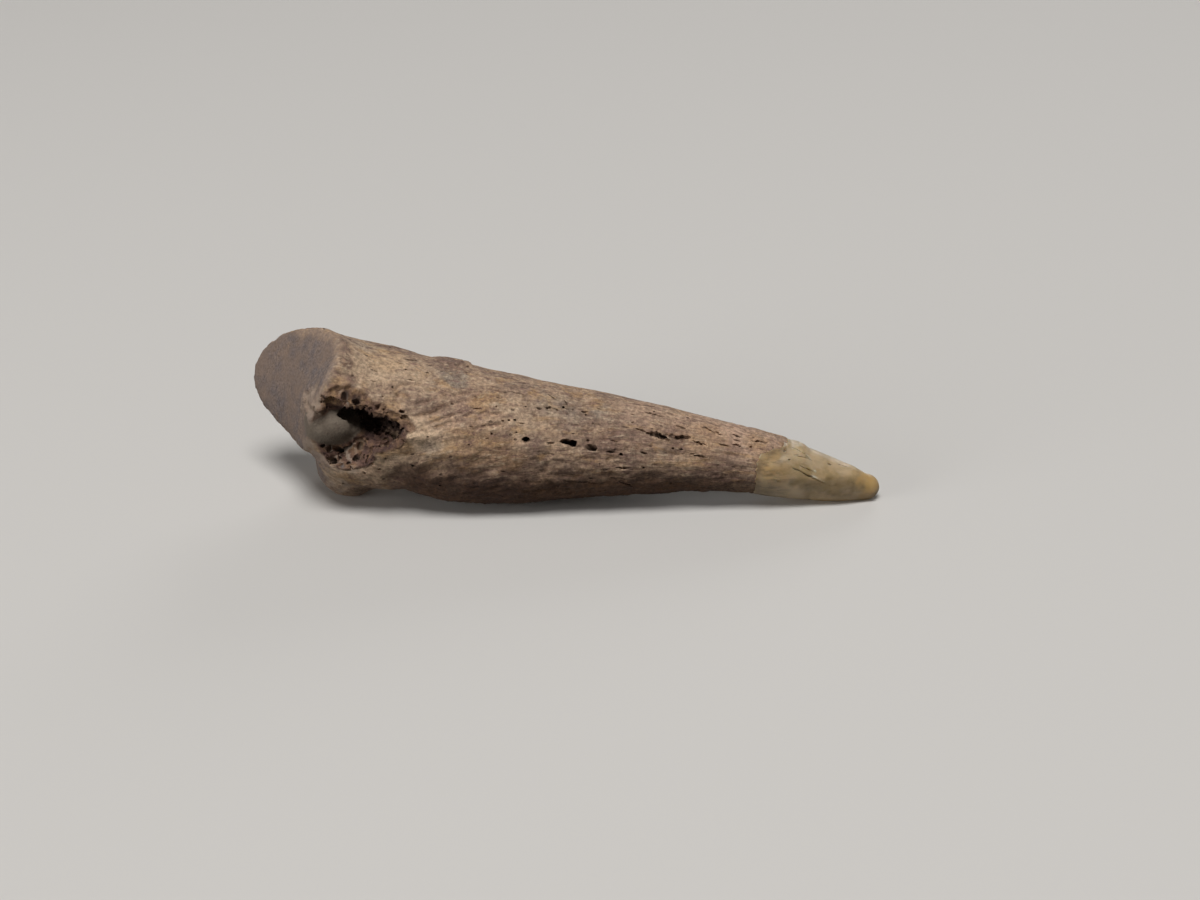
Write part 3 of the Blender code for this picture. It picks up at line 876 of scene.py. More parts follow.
def noise_value(tree, vector, scale, detail=3.0, roughness=0.55, stretch=(1, 1, 1), seed=0.0):
    """Noise from 0 to 1, with its waves stretched along each axis and shifted by a seed."""
    placed = add_node(tree, "ShaderNodeMapping",
                      {"Vector": vector, "Scale": stretch,
                       "Location": (seed * 7.3, seed * 3.1, seed * 5.7)})
    made = add_node(tree, "ShaderNodeTexNoise",
                    {"Vector": placed.outputs[0], "Scale": scale, "Detail": detail,
                     "Roughness": roughness})
    return made.outputs["Fac"]


def new_group(name, inputs, outputs):
    """A node group with its input and output nodes; sockets are (name, kind, default)."""
    tree = bpy.data.node_groups.new(name, "ShaderNodeTree")
    for socket, kind, default in inputs:
        made = tree.interface.new_socket(name=socket, in_out="INPUT", socket_type=kind)
        if default is not None:
            made.default_value = default
    for socket, kind in outputs:
        tree.interface.new_socket(name=socket, in_out="OUTPUT", socket_type=kind)
    return tree, tree.nodes.new("NodeGroupInput"), tree.nodes.new("NodeGroupOutput")


def mottle_group():
    """Soft blotches of three colours, with a fine speckle over them."""
    found = bpy.data.node_groups.get("Mottle")
    if found:
        return found
    tree, source, result = new_group("Mottle", [
        ("Vector", "NodeSocketVector", None),
        ("Ground", "NodeSocketColor", (0.5, 0.5, 0.5, 1)),
        ("Blotch", "NodeSocketColor", (0.4, 0.4, 0.4, 1)),
        ("Stain", "NodeSocketColor", (0.4, 0.3, 0.2, 1)),
        ("Blotch Size", "NodeSocketFloat", 0.5),
        ("Stain Share", "NodeSocketFloat", 0.5),
        ("Speckle", "NodeSocketFloat", 0.3),
    ], [("Color", "NodeSocketColor")])
    vector = source.outputs["Vector"]
    broad = noise_value(tree, vector, 1.0, 4.0, 0.6)
    tree.links.new(source.outputs["Blotch Size"], broad.node.inputs["Scale"])
    stains = noise_value(tree, vector, 0.8, 4.0, 0.62, seed=3.0)
    limit = calculate(tree, "SUBTRACT", 0.74,
                      product(tree, source.outputs["Stain Share"], 0.3))
    over = calculate(tree, "MULTIPLY", calculate(tree, "SUBTRACT", stains, limit), 6.0, True)
    colour = mix_colour(tree, ramp(tree, broad, 0.38, 0.64), source.outputs["Ground"],
                        source.outputs["Blotch"])
    colour = mix_colour(tree, over, colour, source.outputs["Stain"])
    speckle = noise_value(tree, vector, 7.0, 2.0, 0.6, seed=5.0)
    shade = calculate(tree, "MULTIPLY_ADD", calculate(tree, "SUBTRACT", speckle, 0.5),
                      source.outputs["Speckle"])
    shade.node.inputs[2].default_value = 1.0
    tree.links.new(tinted(tree, colour, shade), result.inputs["Color"])
    return tree


def blotches(tree, vector, tints, size, share, speckle):
    """The Mottle group's colour; tints are its ground, its blotches and its stains."""
    made = tree.nodes.new("ShaderNodeGroup")
    made.node_tree = mottle_group()
    tree.links.new(vector, made.inputs["Vector"])
    for name, tint in zip(("Ground", "Blotch", "Stain"), tints):
        made.inputs[name].default_value = (*tint, 1.0)
    for name, value in (("Blotch Size", size), ("Stain Share", share), ("Speckle", speckle)):
        made.inputs[name].default_value = value
    return made.outputs["Color"]


def new_material(name):
    made = bpy.data.materials.new(name)
    made.use_nodes = True
    return made, made.node_tree, made.node_tree.nodes["Principled BSDF"]


def attribute(tree, name, output="Fac"):
    return add_node(tree, "ShaderNodeAttribute", attribute_name=name).outputs[output]


def place_in_mm(tree):
    """The Object coordinates in millimetres."""
    return add_node(tree, "ShaderNodeVectorMath",
                    {0: add_node(tree, "ShaderNodeTexCoord").outputs["Object"],
                     "Scale": 1 / MM}, operation="SCALE").outputs[0]


def feed(tree, shader, colour, roughness, relief, strength, height):
    """Gives a shader its colour, its roughness and a relief some millimetres high."""
    bump = add_node(tree, "ShaderNodeBump",
                    {"Height": relief, "Strength": strength, "Distance": height * MM})
    tree.links.new(colour, shader.inputs["Base Color"])
    tree.links.new(roughness, shader.inputs["Roughness"])
    tree.links.new(bump.outputs[0], shader.inputs["Normal"])
    shader.inputs["Specular IOR Level"].default_value = DULL_SHINE


def outer_skin(tree, look, grain, place, lines):
    """The skin's blotches and stains, under streaks and fibres that run down the grain."""
    colour = blotches(tree, grain, (look.tan, look.mauve, look.ochre), 0.75, 0.55, 0.55)
    for name in ("pale", "rose", "grey", "brown", "ochre"):
        colour = mix_colour(tree, attribute(tree, name + "_stain"), colour, getattr(look, name))
    band = noise_value(tree, grain, 1.0, 4.0, 0.6, BAND_WAVES, 13.0)
    colour = mix_colour(tree, ramp(tree, band, 0.53, 0.68, 0.0, 0.55), colour, look.ochre)
    colour = mix_colour(tree, ramp(tree, band, 0.47, 0.33, 0.0, 0.55), colour, look.mauve)
    bleached = attribute(tree, "pale_stain")
    dark_line = product(tree, ramp(tree, lines, 0.50, 0.64, 0.0, 0.85),
                        ramp(tree, bleached, 0.0, 1.0, 1.0, 0.45))
    colour = mix_colour(tree, dark_line, colour, look.brown)
    colour = mix_colour(tree, ramp(tree, lines, 0.48, 0.37, 0.0, 0.6), colour, FIBRE_CREAM)
    fleck = noise_value(tree, place, 4.5, 5.0, 0.68, seed=11.0)
    colour = tinted(tree, colour, ramp(tree, fleck, 0.36, 0.64, 0.70, 1.28))
    # painted shade in the creases and wrinkles
    crease_shade = product(tree, attribute(tree, "crease_shade"), 0.5)
    return mix_colour(tree, crease_shade, colour, CREASE_SHADE)


def pinholes(tree, grain):
    """1 in the finest holes, which are drawn out along the grain and come in patches."""
    warp = add_node(tree, "ShaderNodeTexNoise", {"Vector": grain, "Scale": 3.0})
    bent = mix_colour(tree, 0.12, grain, warp.outputs["Color"], "ADD")
    drawn_out = add_node(tree, "ShaderNodeMapping", {"Vector": bent, "Scale": (0.45, 1, 1)})
    dots = add_node(tree, "ShaderNodeTexVoronoi",
                    {"Vector": drawn_out.outputs[0], "Scale": 2.6}).outputs["Distance"]
    patches = noise_value(tree, grain, 0.9, 3.0, 0.5, seed=9.0)
    return product(tree, ramp(tree, dots, 0.20, 0.08), ramp(tree, patches, 0.47, 0.60))


def joint_colour(tree, look, place):
    """The joint face's grey-brown, with warm patches."""
    face = blotches(tree, place, (look.joint_brown, *JOINT_TINTS), 1.5, 0.55, 2.1)
    patches = noise_value(tree, place, 0.35, 3.0, 0.6, seed=15.0)
    return mix_colour(tree, ramp(tree, patches, 0.42, 0.62, 0.0, 0.6), face, JOINT_WARM)


def break_colour(tree, look, place):
    """The break's spongy walls, with a yellower crust on the bevel."""
    sponge = blotches(tree, place, (look.sponge_brown, *SPONGE_TINTS), 2.0, 0.7, 0.8)
    crust = blotches(tree, place, CRUST_TINTS, 1.6, 0.8, 1.2)
    return mix_colour(tree, attribute(tree, "bevel"), sponge, crust)


def bone_material(look):
    made, tree, shader = new_material("weathered bone")
    grain, place = attribute(tree, "grain", "Vector"), place_in_mm(tree)
    joint, ball, wall = (attribute(tree, name) for name in
                         ("joint_face", "socket_ball", "break_wall"))
    smooth_part = calculate(tree, "MAXIMUM", joint, ball)
    skin_part = calculate(tree, "SUBTRACT", 1.0, calculate(tree, "MAXIMUM", smooth_part, wall))
    streak = noise_value(tree, grain, 1.0, 5.0, 0.65, STREAK_WAVES, 1.0)
    fibre = noise_value(tree, grain, 1.0, 4.0, 0.65, FIBRE_WAVES, 4.0)
    lines = calculate(tree, "ADD", product(tree, streak, 0.65), product(tree, fibre, 0.35))
    hole = product(tree, pinholes(tree, grain), skin_part)

    colour = outer_skin(tree, look, grain, place, lines)
    # painted shade in the pinholes
    colour = mix_colour(tree, product(tree, hole, 0.8), colour, PINHOLE_SHADE)
    # painted shade on the underside
    colour = mix_colour(tree, attribute(tree, "underside_shade"), colour, UNDERSIDE_SHADE, "MULTIPLY")
    colour = mix_colour(tree, product(tree, attribute(tree, "rim"), 0.85), colour, RIM_TAN)
    colour = mix_colour(tree, joint, colour, joint_colour(tree, look, place))
    colour = mix_colour(tree, wall, colour, break_colour(tree, look, place))
    # painted shade in the deep end of the break and in the bevel's holes
    colour = mix_colour(tree, product(tree, attribute(tree, "hollow_shade"), 0.75), colour, look.hollow_shade_colour)
    colour = mix_colour(tree, ball, colour, blotches(tree, place, BALL_TINTS, 0.8, 0.45, 0.5))
    # painted shade in the pores, slits and cracks, by their depth
    colour = mix_colour(tree, attribute(tree, "depth"), colour, PIT_SHADE)

    # grit all over, more of it in the break; the lines and pinholes sink into the skin
    grit = noise_value(tree, place, 9.0, 3.0, 0.6, seed=7.0)
    relief = calculate(tree, "SUBTRACT", product(tree, grit, 0.35), product(tree, hole, 0.9))
    relief = calculate(tree, "SUBTRACT", relief,
                       product(tree, lines, product(tree, skin_part, 1.9)))
    relief = calculate(tree, "ADD", relief, product(tree, product(tree, grit, 0.6), wall))
    feed(tree, shader, colour, ramp(tree, grit, 0.3, 0.7, 0.70, 0.92), relief, 0.8, BONE_BUMP)
    return made


def tip_material(look):
    made, tree, shader = new_material("clear tip")
    place = place_in_mm(tree)
    fine = noise_value(tree, place, 1.0, 5.0, 0.6, STREAK_WAVES, 8.0)
    haze = blotches(tree, place, (look.wax, HAZE_BROWN, look.cloud), 0.9, 0.7, 0.05)
    colour = mix_colour(tree, attribute(tree, "cloud_stain"), haze, look.cloud)
    colour = mix_colour(tree, ramp(tree, fine, 0.45, 0.75, 0.0, 0.35), colour, STREAK_OLIVE)
    band = product(tree, attribute(tree, "band"), ramp(tree, fine, 0.30, 0.60, 1.0, 0.70))
    colour = mix_colour(tree, band, colour, look.smoke)
    # painted glow of light along the tip's lower edge
    colour = mix_colour(tree, attribute(tree, "low_edge_glow"), colour, look.amber_and_edge_glow)
    colour = mix_colour(tree, attribute(tree, "yellow_stain"), colour, look.amber_and_edge_glow)

    # the bone's streaks under the film, the film's worn edge, a painted highlight on the scratches
    # and painted shade in the cracks
    bone_streak = noise_value(tree, place, 1.0, 5.0, 0.7, SUNKEN_WAVES, 14.0)
    sunken = product(tree, attribute(tree, "over_bone"),
                     ramp(tree, bone_streak, 0.44, 0.66, 0.0, 0.75))
    colour = mix_colour(tree, sunken, colour, SUNKEN_BROWN)
    worn = product(tree, attribute(tree, "film_edge"), ramp(tree, fine, 0.35, 0.65, 0.9, 0.3))
    colour = mix_colour(tree, worn, colour, WORN_BROWN)
    colour = mix_colour(tree, attribute(tree, "scratch_glint"), colour, SCRATCH_GLINT)
    colour = mix_colour(tree, attribute(tree, "depth"), colour, CRACK_SHADE)

    ripple = noise_value(tree, place, 1.6, 4.0, 0.55, (0.6, 1, 1))
    relief = calculate(tree, "ADD", ripple, product(tree, fine, 0.35))
    feed(tree, shader, colour, ramp(tree, fine, 0.3, 0.7, 0.32, 0.50), relief, 0.6, TIP_BUMP)
    shader.inputs["Transmission Weight"].default_value = look.transmission
    shader.inputs["IOR"].default_value = look.ior
    shader.inputs["Subsurface Weight"].default_value = 1.0
    shader.inputs["Subsurface Radius"].default_value = SCATTER_RADIUS
    shader.inputs["Subsurface Scale"].default_value = SCATTER_REACH * MM
    return made


# Pieces

class FOSSIL_OT_bone(bpy.types.Operator):
    """Carves the weathered claw bone over its solid"""
    bl_idname = "fossil.bone"
    bl_label = "Carve Claw Bone"

    def execute(self, context):
        look = context.scene.claw_bone
        rng = random.Random(7)
        ledges = [ball_at(*ledge) for ledge in LEDGES]
        bone = join([copy_of("claw_bone", "bone"), self.core_in_tip(), ball_at(*SOCKET_BALL)]
                    + ledges, "bone")
        remesh(bone, look.skin_cell)
        for middle, half_lengths in DEEP_END:
            carve(bone, ball_at(middle, half_lengths, ragged=DEEP_END_RAGGED))
        self.soften(bone, look)
        self.add_relief(bone, look)
        rest_on_floor(bone)
        skin = skin_tree(bone)
        self.open_cells(bone, look, rng)
        self.sink_pores(bone, skin, look, rng)
        bone = drop_crumbs(bone)
        self.paint_masks(bone, skin)
        bone.data.materials.clear()
        bone.data.materials.append(bone_material(look))
        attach(bone, "root")
        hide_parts("claw_bone")
        return {"FINISHED"}

    def core_in_tip(self):
        """The end of the bone that shows through the clear film, a little under it."""
        core = whole_end("core", CORE_CELL * MM)
        bisect(core, CORE_END_X, keep_far=False)
        points = points_of(core)
        middle_y, middle_z, _ = centre_line_at(points)
        middle = np.column_stack((points[:, 0], middle_y, middle_z))
        thinner = film_share(points) * (
            0.08 + 0.45 * smooth_between(points[:, 0], 13.2, CORE_END_X))
        place_points(core, middle + (points - middle) * (1 - thinner)[:, None])
        return core

    def soften(self, bone, look):
        """Smooths the solid's facets away, and less so in the break and at the tongue."""
        points = points_of(bone)
        sharp = 0.8 * self.pocket_share(points, 0.3) * (1 - inside_ball(points, *SOCKET_BALL, 0.5))
        sharp = np.maximum(sharp, 0.8 * smooth_between(points[:, 0], 11.8, 12.2))
        weigh(bone, "skin", 1 - sharp)
        apply_modifier(bone, "SMOOTH", factor=0.5, iterations=look.soften_passes,
                       vertex_group="skin")
        bone.vertex_groups.clear()

    def pocket_share(self, points, skin):
        """1 in the hollows of the break, 0 away from them."""
        share = inside_rod(points, skin)
        for middle, half in BREAK_POCKETS + DEEP_END:
            share = np.maximum(share, inside_ball(points, middle, half, skin))
        return share

    def wrinkle_share(self, points):
        """1 in the wrinkles beside the break."""
        return np.max([near_line(points, line, ragged=0.5) for line in WRINKLES], axis=0)

    def break_share(self, points, skin):
        """1 on the broken, spongy bone: the hollows and the bevel above them."""
        ragged = 0.16 * noise_over(points, (1.5, 1.5, 1.5), 23, 3)[:, None]
        return np.maximum(self.pocket_share(points + ragged, skin),
                          near_line(points, BEVEL_LINE, skin, ragged=0.3))

    def face_shares(self, points, normals):
        """The joint face, and the pale rim where it turns into the near side."""
        facing = normals @ np.array(FACE_OUTWARD)
        share = smooth_between(facing, 0.70, 0.86)
        share *= 1 - smooth_between(points[:, 0], FACE_BACK_X - 0.6, FACE_BACK_X)
        on_face = share > 0.01
        off_face = points[(share < 0.4) & (points[:, 0] > FACE_RIM_X) & (points[:, 2] > 4.2)]
        ragged = 0.25 * noise_over(points, (1.2, 1.2, 1.2), 14)
        inner = np.ones(len(points))
        inner[on_face] = smooth_between(
            distance_to(points[on_face], off_face) + ragged[on_face], 0.15, 0.75)
        rim = 1 - inner
        near_face = points[(share > 0.6) & (points[:, 0] > FACE_RIM_X - 0.6)]
        outside = (share <= 0.6) & (points[:, 0] < FACE_BACK_X) & (points[:, 1] < 1.0)
        gap = distance_to(points[outside], near_face) + ragged[outside]
        rim[outside] = np.maximum(rim[outside], 1 - np.clip(gap / RIM_WIDTH, 0, 1))
        return share * (0.45 + 0.55 * inner), rim, share

    def add_relief(self, bone, look):
        """Raises the lumps, the flakes and the strands, and breaks the bevel back."""
        points, normals = points_of(bone), normals_of(bone)
        _, _, face = self.face_shares(points, normals)
        ball = inside_ball(points, *SOCKET_BALL, 0.12)
        wall = self.break_share(points, 0.05)
        film = film_share(points)
        open_skin = (1 - face) * (1 - ball) * (1 - wall) * (1 - film)
        heights = noise_over(points, (0.35, 0.6, 0.6), 1) * look.lump_height / MM * (
            1 - 0.8 * face) * (1 - 0.7 * ball) * (1 - 0.5 * film)
        heights += swell_heights(points, SWELLS) * (1 - ball)
        heights += flake_heights(points) * open_skin
        strands = noise_over(grain_points(points), (0.55, 1.7, 1.7), 2, 3)
        calm = 1 - 0.65 * smooth_between(normals[:, 2], 0.55, 0.9)    # the top is smoother
        heights += strands * look.strand_height / MM * open_skin * calm
        heights -= self.creases(points) * look.crease_depth / MM * open_skin
        heights -= BEVEL_DEPTH * near_line(points, BEVEL_LINE, ragged=0.3) * (1 - ball)
        heights -= WRINKLE_DEPTH * self.wrinkle_share(points) * open_skin
        heights += noise_over(points, (2.8, 2.8, 2.8), 3, 3) * WALL_CRUMBLE * wall * (1 - ball)
        heights += noise_over(points, (3.0, 3.0, 3.0), 6, 2) * FACE_GRIT * face
        raise_skin(bone, heights)

    def creases(self, points):
        """1 along the wavy creases between the strands, in patches."""
        grain = grain_points(points)
        line = noise_over(grain, (0.60, 2.9, 2.9), 3, 2)
        patch = smooth_between(noise_over(points, (0.3, 0.45, 0.45), 4), -0.25, 0.30)
        smooth_head = 1 - 0.8 * smooth_between(-points[:, 0], 8.5, 10.0)
        return np.exp(-(line / 0.11) ** 2) * (0.2 + 0.8 * patch) * smooth_head

    def open_cells(self, bone, look, rng):
        """Opens the spongy cells in the walls of the break."""
        points, normals = points_of(bone), normals_of(bone)
        bevel = near_line(points, BEVEL_LINE, ragged=0.3)
        wall = self.break_share(points, 0.05) - 2 * inside_ball(points, *SOCKET_BALL, 0.2)
        wall -= 2 * self.face_shares(points, normals)[2]
        wall -= 2 * inside_ball(points, *BEVEL_CRUST, 0.2)
        found = np.nonzero(wall > 0.6)[0]
        cells = []
        for _ in range(look.cell_count):
            index = found[rng.randrange(len(found))]
            radius = look.cell_radius / MM * rng.uniform(0.4, 1.4)
            if bevel[index] > 0.4:
                radius *= BEVEL_CELL_SHARE
            normal = Vector(normals[index])
            spot = Vector(points[index] * MM) - normal * radius * 0.3 * MM
            cells.append(cutter_at(spot, grain_frame(normal, rng.uniform(-90, 90)),
                                   2 * radius * rng.uniform(1.0, 2.2),
                                   2 * radius * rng.uniform(0.6, 1.1), radius * 1.1, rng))
        cutter = join(cells, "cells")
        remesh(cutter, CELL_GRID * MM)
        carve(bone, cutter)

    def sink_pores(self, bone, skin, look, rng):
        """Sinks the pores, slits and cracks, and strews small ones over the whole bone."""
        cutters = []
        for place, length, width in PORES:
            cutters.append(cut_on(skin, place, length, width, max(width, 0.2) * PORE_DEPTH_RATIO,
                                  rng.uniform(-5, 5) + PORE_FALL, rng))
        for place, length, width, turn in SLITS:
            cutters.append(cut_on(skin, place, length, width, width * PORE_DEPTH_RATIO, turn,
                                  rng))
        for crack in CRACKS:
            wide = crack[2] > WEDGE_WIDTH
            cutters.extend(crack_cuts(skin, crack, rng,
                                      WEDGE_DEPTH_RATIO if wide else CRACK_DEPTH_RATIO))
        points, normals = points_of(bone), normals_of(bone)
        bare = self.break_share(points, 0.3) + self.face_shares(points, normals)[2]
        bare += inside_ball(points, *SOCKET_BALL, 0.3) + film_share(points)
        found = np.nonzero((bare < 0.1) & (points[:, 2] > 0.4) & (points[:, 0] < 12.2))[0]
        for _ in range(look.pore_count):
            place = points[found[rng.randrange(len(found))]]
            if rng.random() < ROUND_PORE_SHARE:
                width = rng.uniform(0.09, 0.17)
                length = width * rng.uniform(1.0, 1.7)
            else:
                width = rng.uniform(0.06, 0.10)
                length = width * rng.uniform(3.0, 8.0)
            cutters.append(cut_on(skin, place, length, width,
                                  max(width, 0.08) * SMALL_PORE_DEPTH_RATIO,
                                  rng.uniform(-12, 12), rng, subdivisions=1))
        carve_all(bone, cutters)

    def paint_masks(self, bone, skin):
        points, normals = points_of(bone), normals_of(bone)
        grain = bone.data.attributes.new("grain", "FLOAT_VECTOR", "POINT")
        grain.data.foreach_set("vector", grain_points(points).astype(np.float32).ravel())
        ball = inside_ball(points, *SOCKET_BALL, 0.1)
        joint, rim, face = self.face_shares(points, normals)
        wall = self.break_share(points, BREAK_SKIN) * (1 - face)
        # the rim beside the ball is whole
        wall *= 1 - (0.8 * rim * smooth_between(points[:, 2], 4.4, 5.2)
                     * smooth_between(-points[:, 0], 14.4, 15.0))
        ragged = noise_over(points, (0.9, 0.9, 0.9), 31, 3)
        _, middle_z, radius = centre_line_at(points)
        height = (points[:, 2] - middle_z) / radius + 0.18 * ragged
        # the painted shade below is weaker at the head and the end
        spared = np.maximum(0.85 * smooth_between(-points[:, 0], 9.0, 11.5),
                            0.45 * smooth_between(points[:, 0], 8.0, 12.0))
        paint(bone, "joint_face", joint)
        paint(bone, "rim", rim * (1 - wall) * (1 - 0.6 * smooth_between(points[:, 2], 8, 10)))
        paint(bone, "socket_ball", ball)
        paint(bone, "break_wall", wall)
        paint(bone, "bevel", near_line(points, BEVEL_LINE, BREAK_SKIN, ragged=0.3))
        # painted shade in the creases and wrinkles
        crease_shade = np.maximum(self.creases(points), 0.55 * self.wrinkle_share(points))
        paint(bone, "crease_shade", crease_shade * (1 - wall) * (1 - face))
        # painted shade in the pores, slits and cracks, by how deep they lie
        paint(bone, "depth", depth_below(bone, skin, 0.40) * (1 - 0.2 * wall))
        # painted shade in the deep end of the break and the bevel's holes
        hollows = [inside_ball(points, *part, 0.10) for part in DEEP_END]
        hollows += [inside_ball(points, *part, 0.03) for part in BEVEL_HOLES]
        paint(bone, "hollow_shade", np.max(hollows, axis=0))
        # painted shade on the underside, darker towards the bottom
        paint(bone, "underside_shade", smooth_between(-height, -0.20, 0.50) * (1 - spared))
        for name, patches in STAINS.items():
            paint(bone, name + "_stain", stain_share(points, patches, ragged))


class FOSSIL_OT_tip(bpy.types.Operator):
    """Shapes the clear tip over its solid"""
    bl_idname = "fossil.tip"
    bl_label = "Shape Clear Tip"

    def execute(self, context):
        look = context.scene.claw_tip
        rng = random.Random(11)
        tip = whole_end("tip", look.skin_cell)
        points = points_of(tip)
        heights = swell_heights(points, TIP_SWELLS)
        heights += noise_over(points, (0.7, 1.1, 1.1), 41, 2) * TIP_LUMP + FILM_PROUD
        heights += SCRATCH_HEIGHT * self.scratch_share(points)
        raise_skin(tip, heights)
        rest_on_floor(tip)
        self.trim_to_film(tip, rng)
        skin = skin_tree(tip)
        self.crack(tip, skin, rng)
        tip = drop_crumbs(tip)
        self.paint_masks(tip, skin)
        tip.data.materials.clear()
        tip.data.materials.append(tip_material(look))
        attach(tip, "root")
        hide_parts("claw_tip")
        return {"FINISHED"}

    def scratch_share(self, points):
        return np.max([near_line(points, line, ragged=0.25) for line in TIP_SCRATCHES], axis=0)

    def trim_to_film(self, tip, rng):
        """Keeps what lies past the film's ragged edge."""
        outline = []
        for (x, z), (next_x, next_z) in zip(FILM_LINE, FILM_LINE[1:]):
            steps = max(1, round(math.hypot(next_x - x, next_z - z) / FILM_STEP))
            for step in range(steps):
                share = step / steps
                outline.append((x + (next_x - x) * share + rng.uniform(-1, 1) * FILM_RAGGED,
                                z + (next_z - z) * share + rng.uniform(-1, 1) * FILM_RAGGED))
        outline += [(FILM_LINE[-1][0], FILM_LINE[-1][1]), (23.0, 9.0), (23.0, -1.0)]
        mesh = bpy.data.meshes.new("keep")
        mesh.from_pydata([(x * MM, -8 * MM, z * MM) for x, z in outline], [],
                         [list(range(len(outline)))])
        keep = bpy.data.objects.new("keep", mesh)
        bpy.context.scene.collection.objects.link(keep)
        select_only(keep)
        bpy.ops.object.mode_set(mode="EDIT")
        bpy.ops.mesh.select_all(action="SELECT")
        bpy.ops.mesh.extrude_region_move(TRANSFORM_OT_translate={"value": (0, 16 * MM, 0)})
        bpy.ops.mesh.select_all(action="SELECT")
        bpy.ops.mesh.normals_make_consistent(inside=False)
        bpy.ops.object.mode_set(mode="OBJECT")
        apply_modifier(tip, "BOOLEAN", operation="INTERSECT", solver="MANIFOLD", object=keep)
        bpy.data.objects.remove(keep, do_unlink=True)

    def crack(self, tip, skin, rng):
        cutters = [cut_on(skin, place, length, width, TIP_PIT_DEPTH, rng.uniform(-20, 20), rng)
                   for place, length, width in TIP_PITS]
        for crack in TIP_CRACKS:
            cutters.extend(crack_cuts(skin, crack, rng, TIP_CRACK_DEPTH_RATIO))
        carve_all(tip, cutters)

    def paint_masks(self, tip, skin):
        points = points_of(tip)
        ragged = noise_over(points, (0.9, 0.9, 0.9), 51, 3)
        paint(tip, "band", near_line(points, TIP_BAND, ragged=0.5, core=0.35) * 0.8)
        # painted highlight on the raised scratches
        paint(tip, "scratch_glint", self.scratch_share(points))
        # painted glow of light along the lower edge
        paint(tip, "low_edge_glow", 0.6 * smooth_between(-points[:, 2], -0.75, -0.25)
              * smooth_between(points[:, 0], 14.5, 17.0))
        left = 1 - smooth_between(points[:, 0] + 0.1 * ragged, 12.35, 12.85)
        above = smooth_between(points[:, 2] + 0.1 * ragged, 3.65, 3.95)
        paint(tip, "over_bone", 1 - smooth_between(points[:, 0], 13.2, 15.2))
        paint(tip, "film_edge", np.maximum(left, above * (points[:, 0] < 14.3)))
        for name, patches in TIP_STAINS.items():
            paint(tip, name + "_stain", stain_share(points, patches, ragged))
        # painted shade in the cracks and pits, by their depth
        paint(tip, "depth", depth_below(tip, skin, 0.12) * (points[:, 0] > 13.4))


# Each light's place and size, in metres.
KEY_LIGHT = ((0.00, -0.26, 0.78), 0.42)
SIDE_LIGHT = ((-0.60, -0.34, 0.12), 0.40)
BACK_LIGHT = ((0.25, 0.75, 0.30), 0.40)
SKY_COLOUR = (1.0, 0.98, 0.95)
WALL_COLOUR = (0.575, 0.555, 0.53)
CAMERA_PLACE = (2.462, -122.6, 60.22)
CAMERA_TILT = 25.15                    # degrees that it looks down
CAMERA_ROLL = -0.775
CAMERA_LENS = 62.67
SENSOR_WIDTH = 36


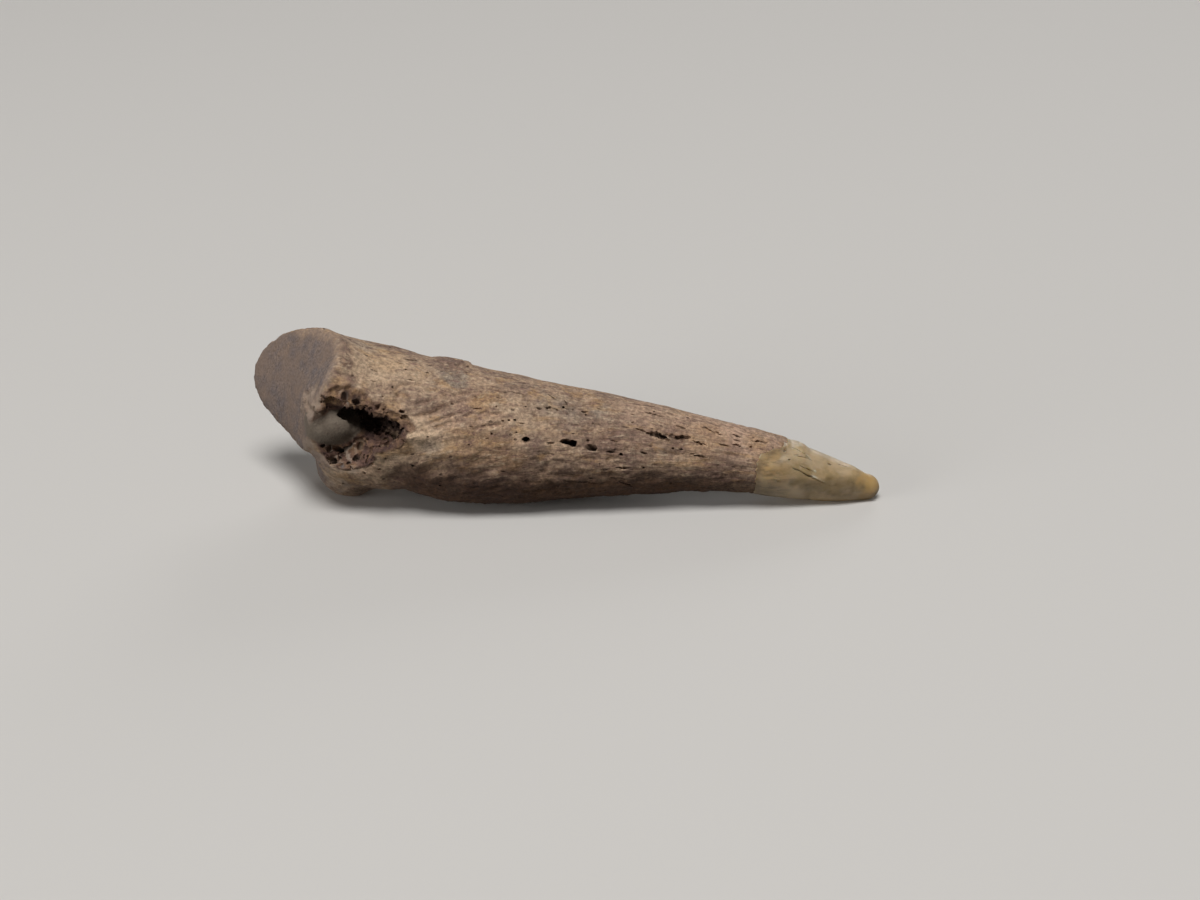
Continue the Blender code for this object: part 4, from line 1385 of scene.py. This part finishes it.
class FOSSIL_OT_stage(bpy.types.Operator):
    """Sets the floor, the lights and the camera"""
    bl_idname = "fossil.stage"
    bl_label = "Set Stage"

    def execute(self, context):
        look = context.scene.claw_stage
        bpy.ops.object.select_all(action="DESELECT")
        bpy.ops.mesh.primitive_plane_add(size=look.floor_size, location=(0, 0, 0))
        floor = context.view_layer.objects.active
        floor.name = "floor"
        made, _, shader = new_material("pale floor")
        shader.inputs["Base Color"].default_value = (*look.floor_colour, 1.0)
        shader.inputs["Roughness"].default_value = 0.9
        floor.data.materials.append(made)
        floor.visible_diffuse = False
        self.add_light("key", *KEY_LIGHT, look.key_power)
        self.add_light("side", *SIDE_LIGHT, look.side_power)
        self.add_light("back", *BACK_LIGHT, look.back_power)
        self.add_world(context, look)
        self.add_camera(context)
        context.scene.view_settings.view_transform = "Standard"
        return {"FINISHED"}

    def add_world(self, context, look):
        """Soft light from all round, with a pale wall that only the camera sees."""
        world = bpy.data.worlds.new("studio")
        context.scene.world = world
        world.use_nodes = True
        tree = world.node_tree
        sky = tree.nodes["Background"]
        sky.inputs["Color"].default_value = (*SKY_COLOUR, 1.0)
        sky.inputs["Strength"].default_value = look.sky_strength
        wall = add_node(tree, "ShaderNodeBackground",
                        {"Color": (*WALL_COLOUR, 1.0), "Strength": 1.0})
        seen = add_node(tree, "ShaderNodeMixShader", {
            0: add_node(tree, "ShaderNodeLightPath").outputs["Is Camera Ray"],
            1: sky.outputs[0], 2: wall.outputs[0]})
        tree.links.new(seen.outputs[0], tree.nodes["World Output"].inputs["Surface"])

    def add_light(self, name, place, size, power):
        bpy.ops.object.light_add(type="AREA", location=place)
        light = bpy.context.view_layer.objects.active
        light.name = name
        light.data.shape = "DISK"
        light.data.size = size
        light.data.energy = power
        light.rotation_euler = (-Vector(place)).to_track_quat("-Z", "Y").to_euler()

    def add_camera(self, context):
        bpy.ops.object.camera_add(location=[value * MM for value in CAMERA_PLACE],
                                  rotation=(math.radians(90 - CAMERA_TILT), 0, 0))
        camera = context.view_layer.objects.active
        camera.rotation_euler.rotate_axis("Z", math.radians(CAMERA_ROLL))
        camera.data.lens = CAMERA_LENS
        camera.data.sensor_width = SENSOR_WIDTH
        camera.data.sensor_fit = "HORIZONTAL"
        camera.data.clip_start = 0.001
        context.scene.camera = camera


class FOSSIL_PT_panel(bpy.types.Panel):
    """Lists the claw's operators and settings"""
    bl_idname = "FOSSIL_PT_panel"
    bl_label = "Fossil Claw"
    bl_space_type = "VIEW_3D"
    bl_region_type = "UI"
    bl_category = "Fossil"

    def draw(self, context):
        layout = self.layout
        for kind, name in ((FOSSIL_OT_bone, "claw_bone"), (FOSSIL_OT_tip, "claw_tip"),
                           (FOSSIL_OT_stage, "claw_stage")):
            box = layout.box()
            box.operator(kind.bl_idname)
            look = getattr(context.scene, name)
            for setting in look.__annotations__:
                box.prop(look, setting)


CLASSES = (ClawBoneSettings, ClawTipSettings, StageSettings, FOSSIL_OT_bone, FOSSIL_OT_tip,
           FOSSIL_OT_stage, FOSSIL_PT_panel)


def register():
    for kind in CLASSES:
        bpy.utils.register_class(kind)
    bpy.types.Scene.claw_bone = PointerProperty(type=ClawBoneSettings)
    bpy.types.Scene.claw_tip = PointerProperty(type=ClawTipSettings)
    bpy.types.Scene.claw_stage = PointerProperty(type=StageSettings)


def unregister():
    del bpy.types.Scene.claw_stage
    del bpy.types.Scene.claw_tip
    del bpy.types.Scene.claw_bone
    for kind in reversed(CLASSES):
        bpy.utils.unregister_class(kind)


def main():
    register()
    bpy.ops.fossil.bone()
    bpy.ops.fossil.tip()
    bpy.ops.fossil.stage()


if __name__ == "__main__":
    main()
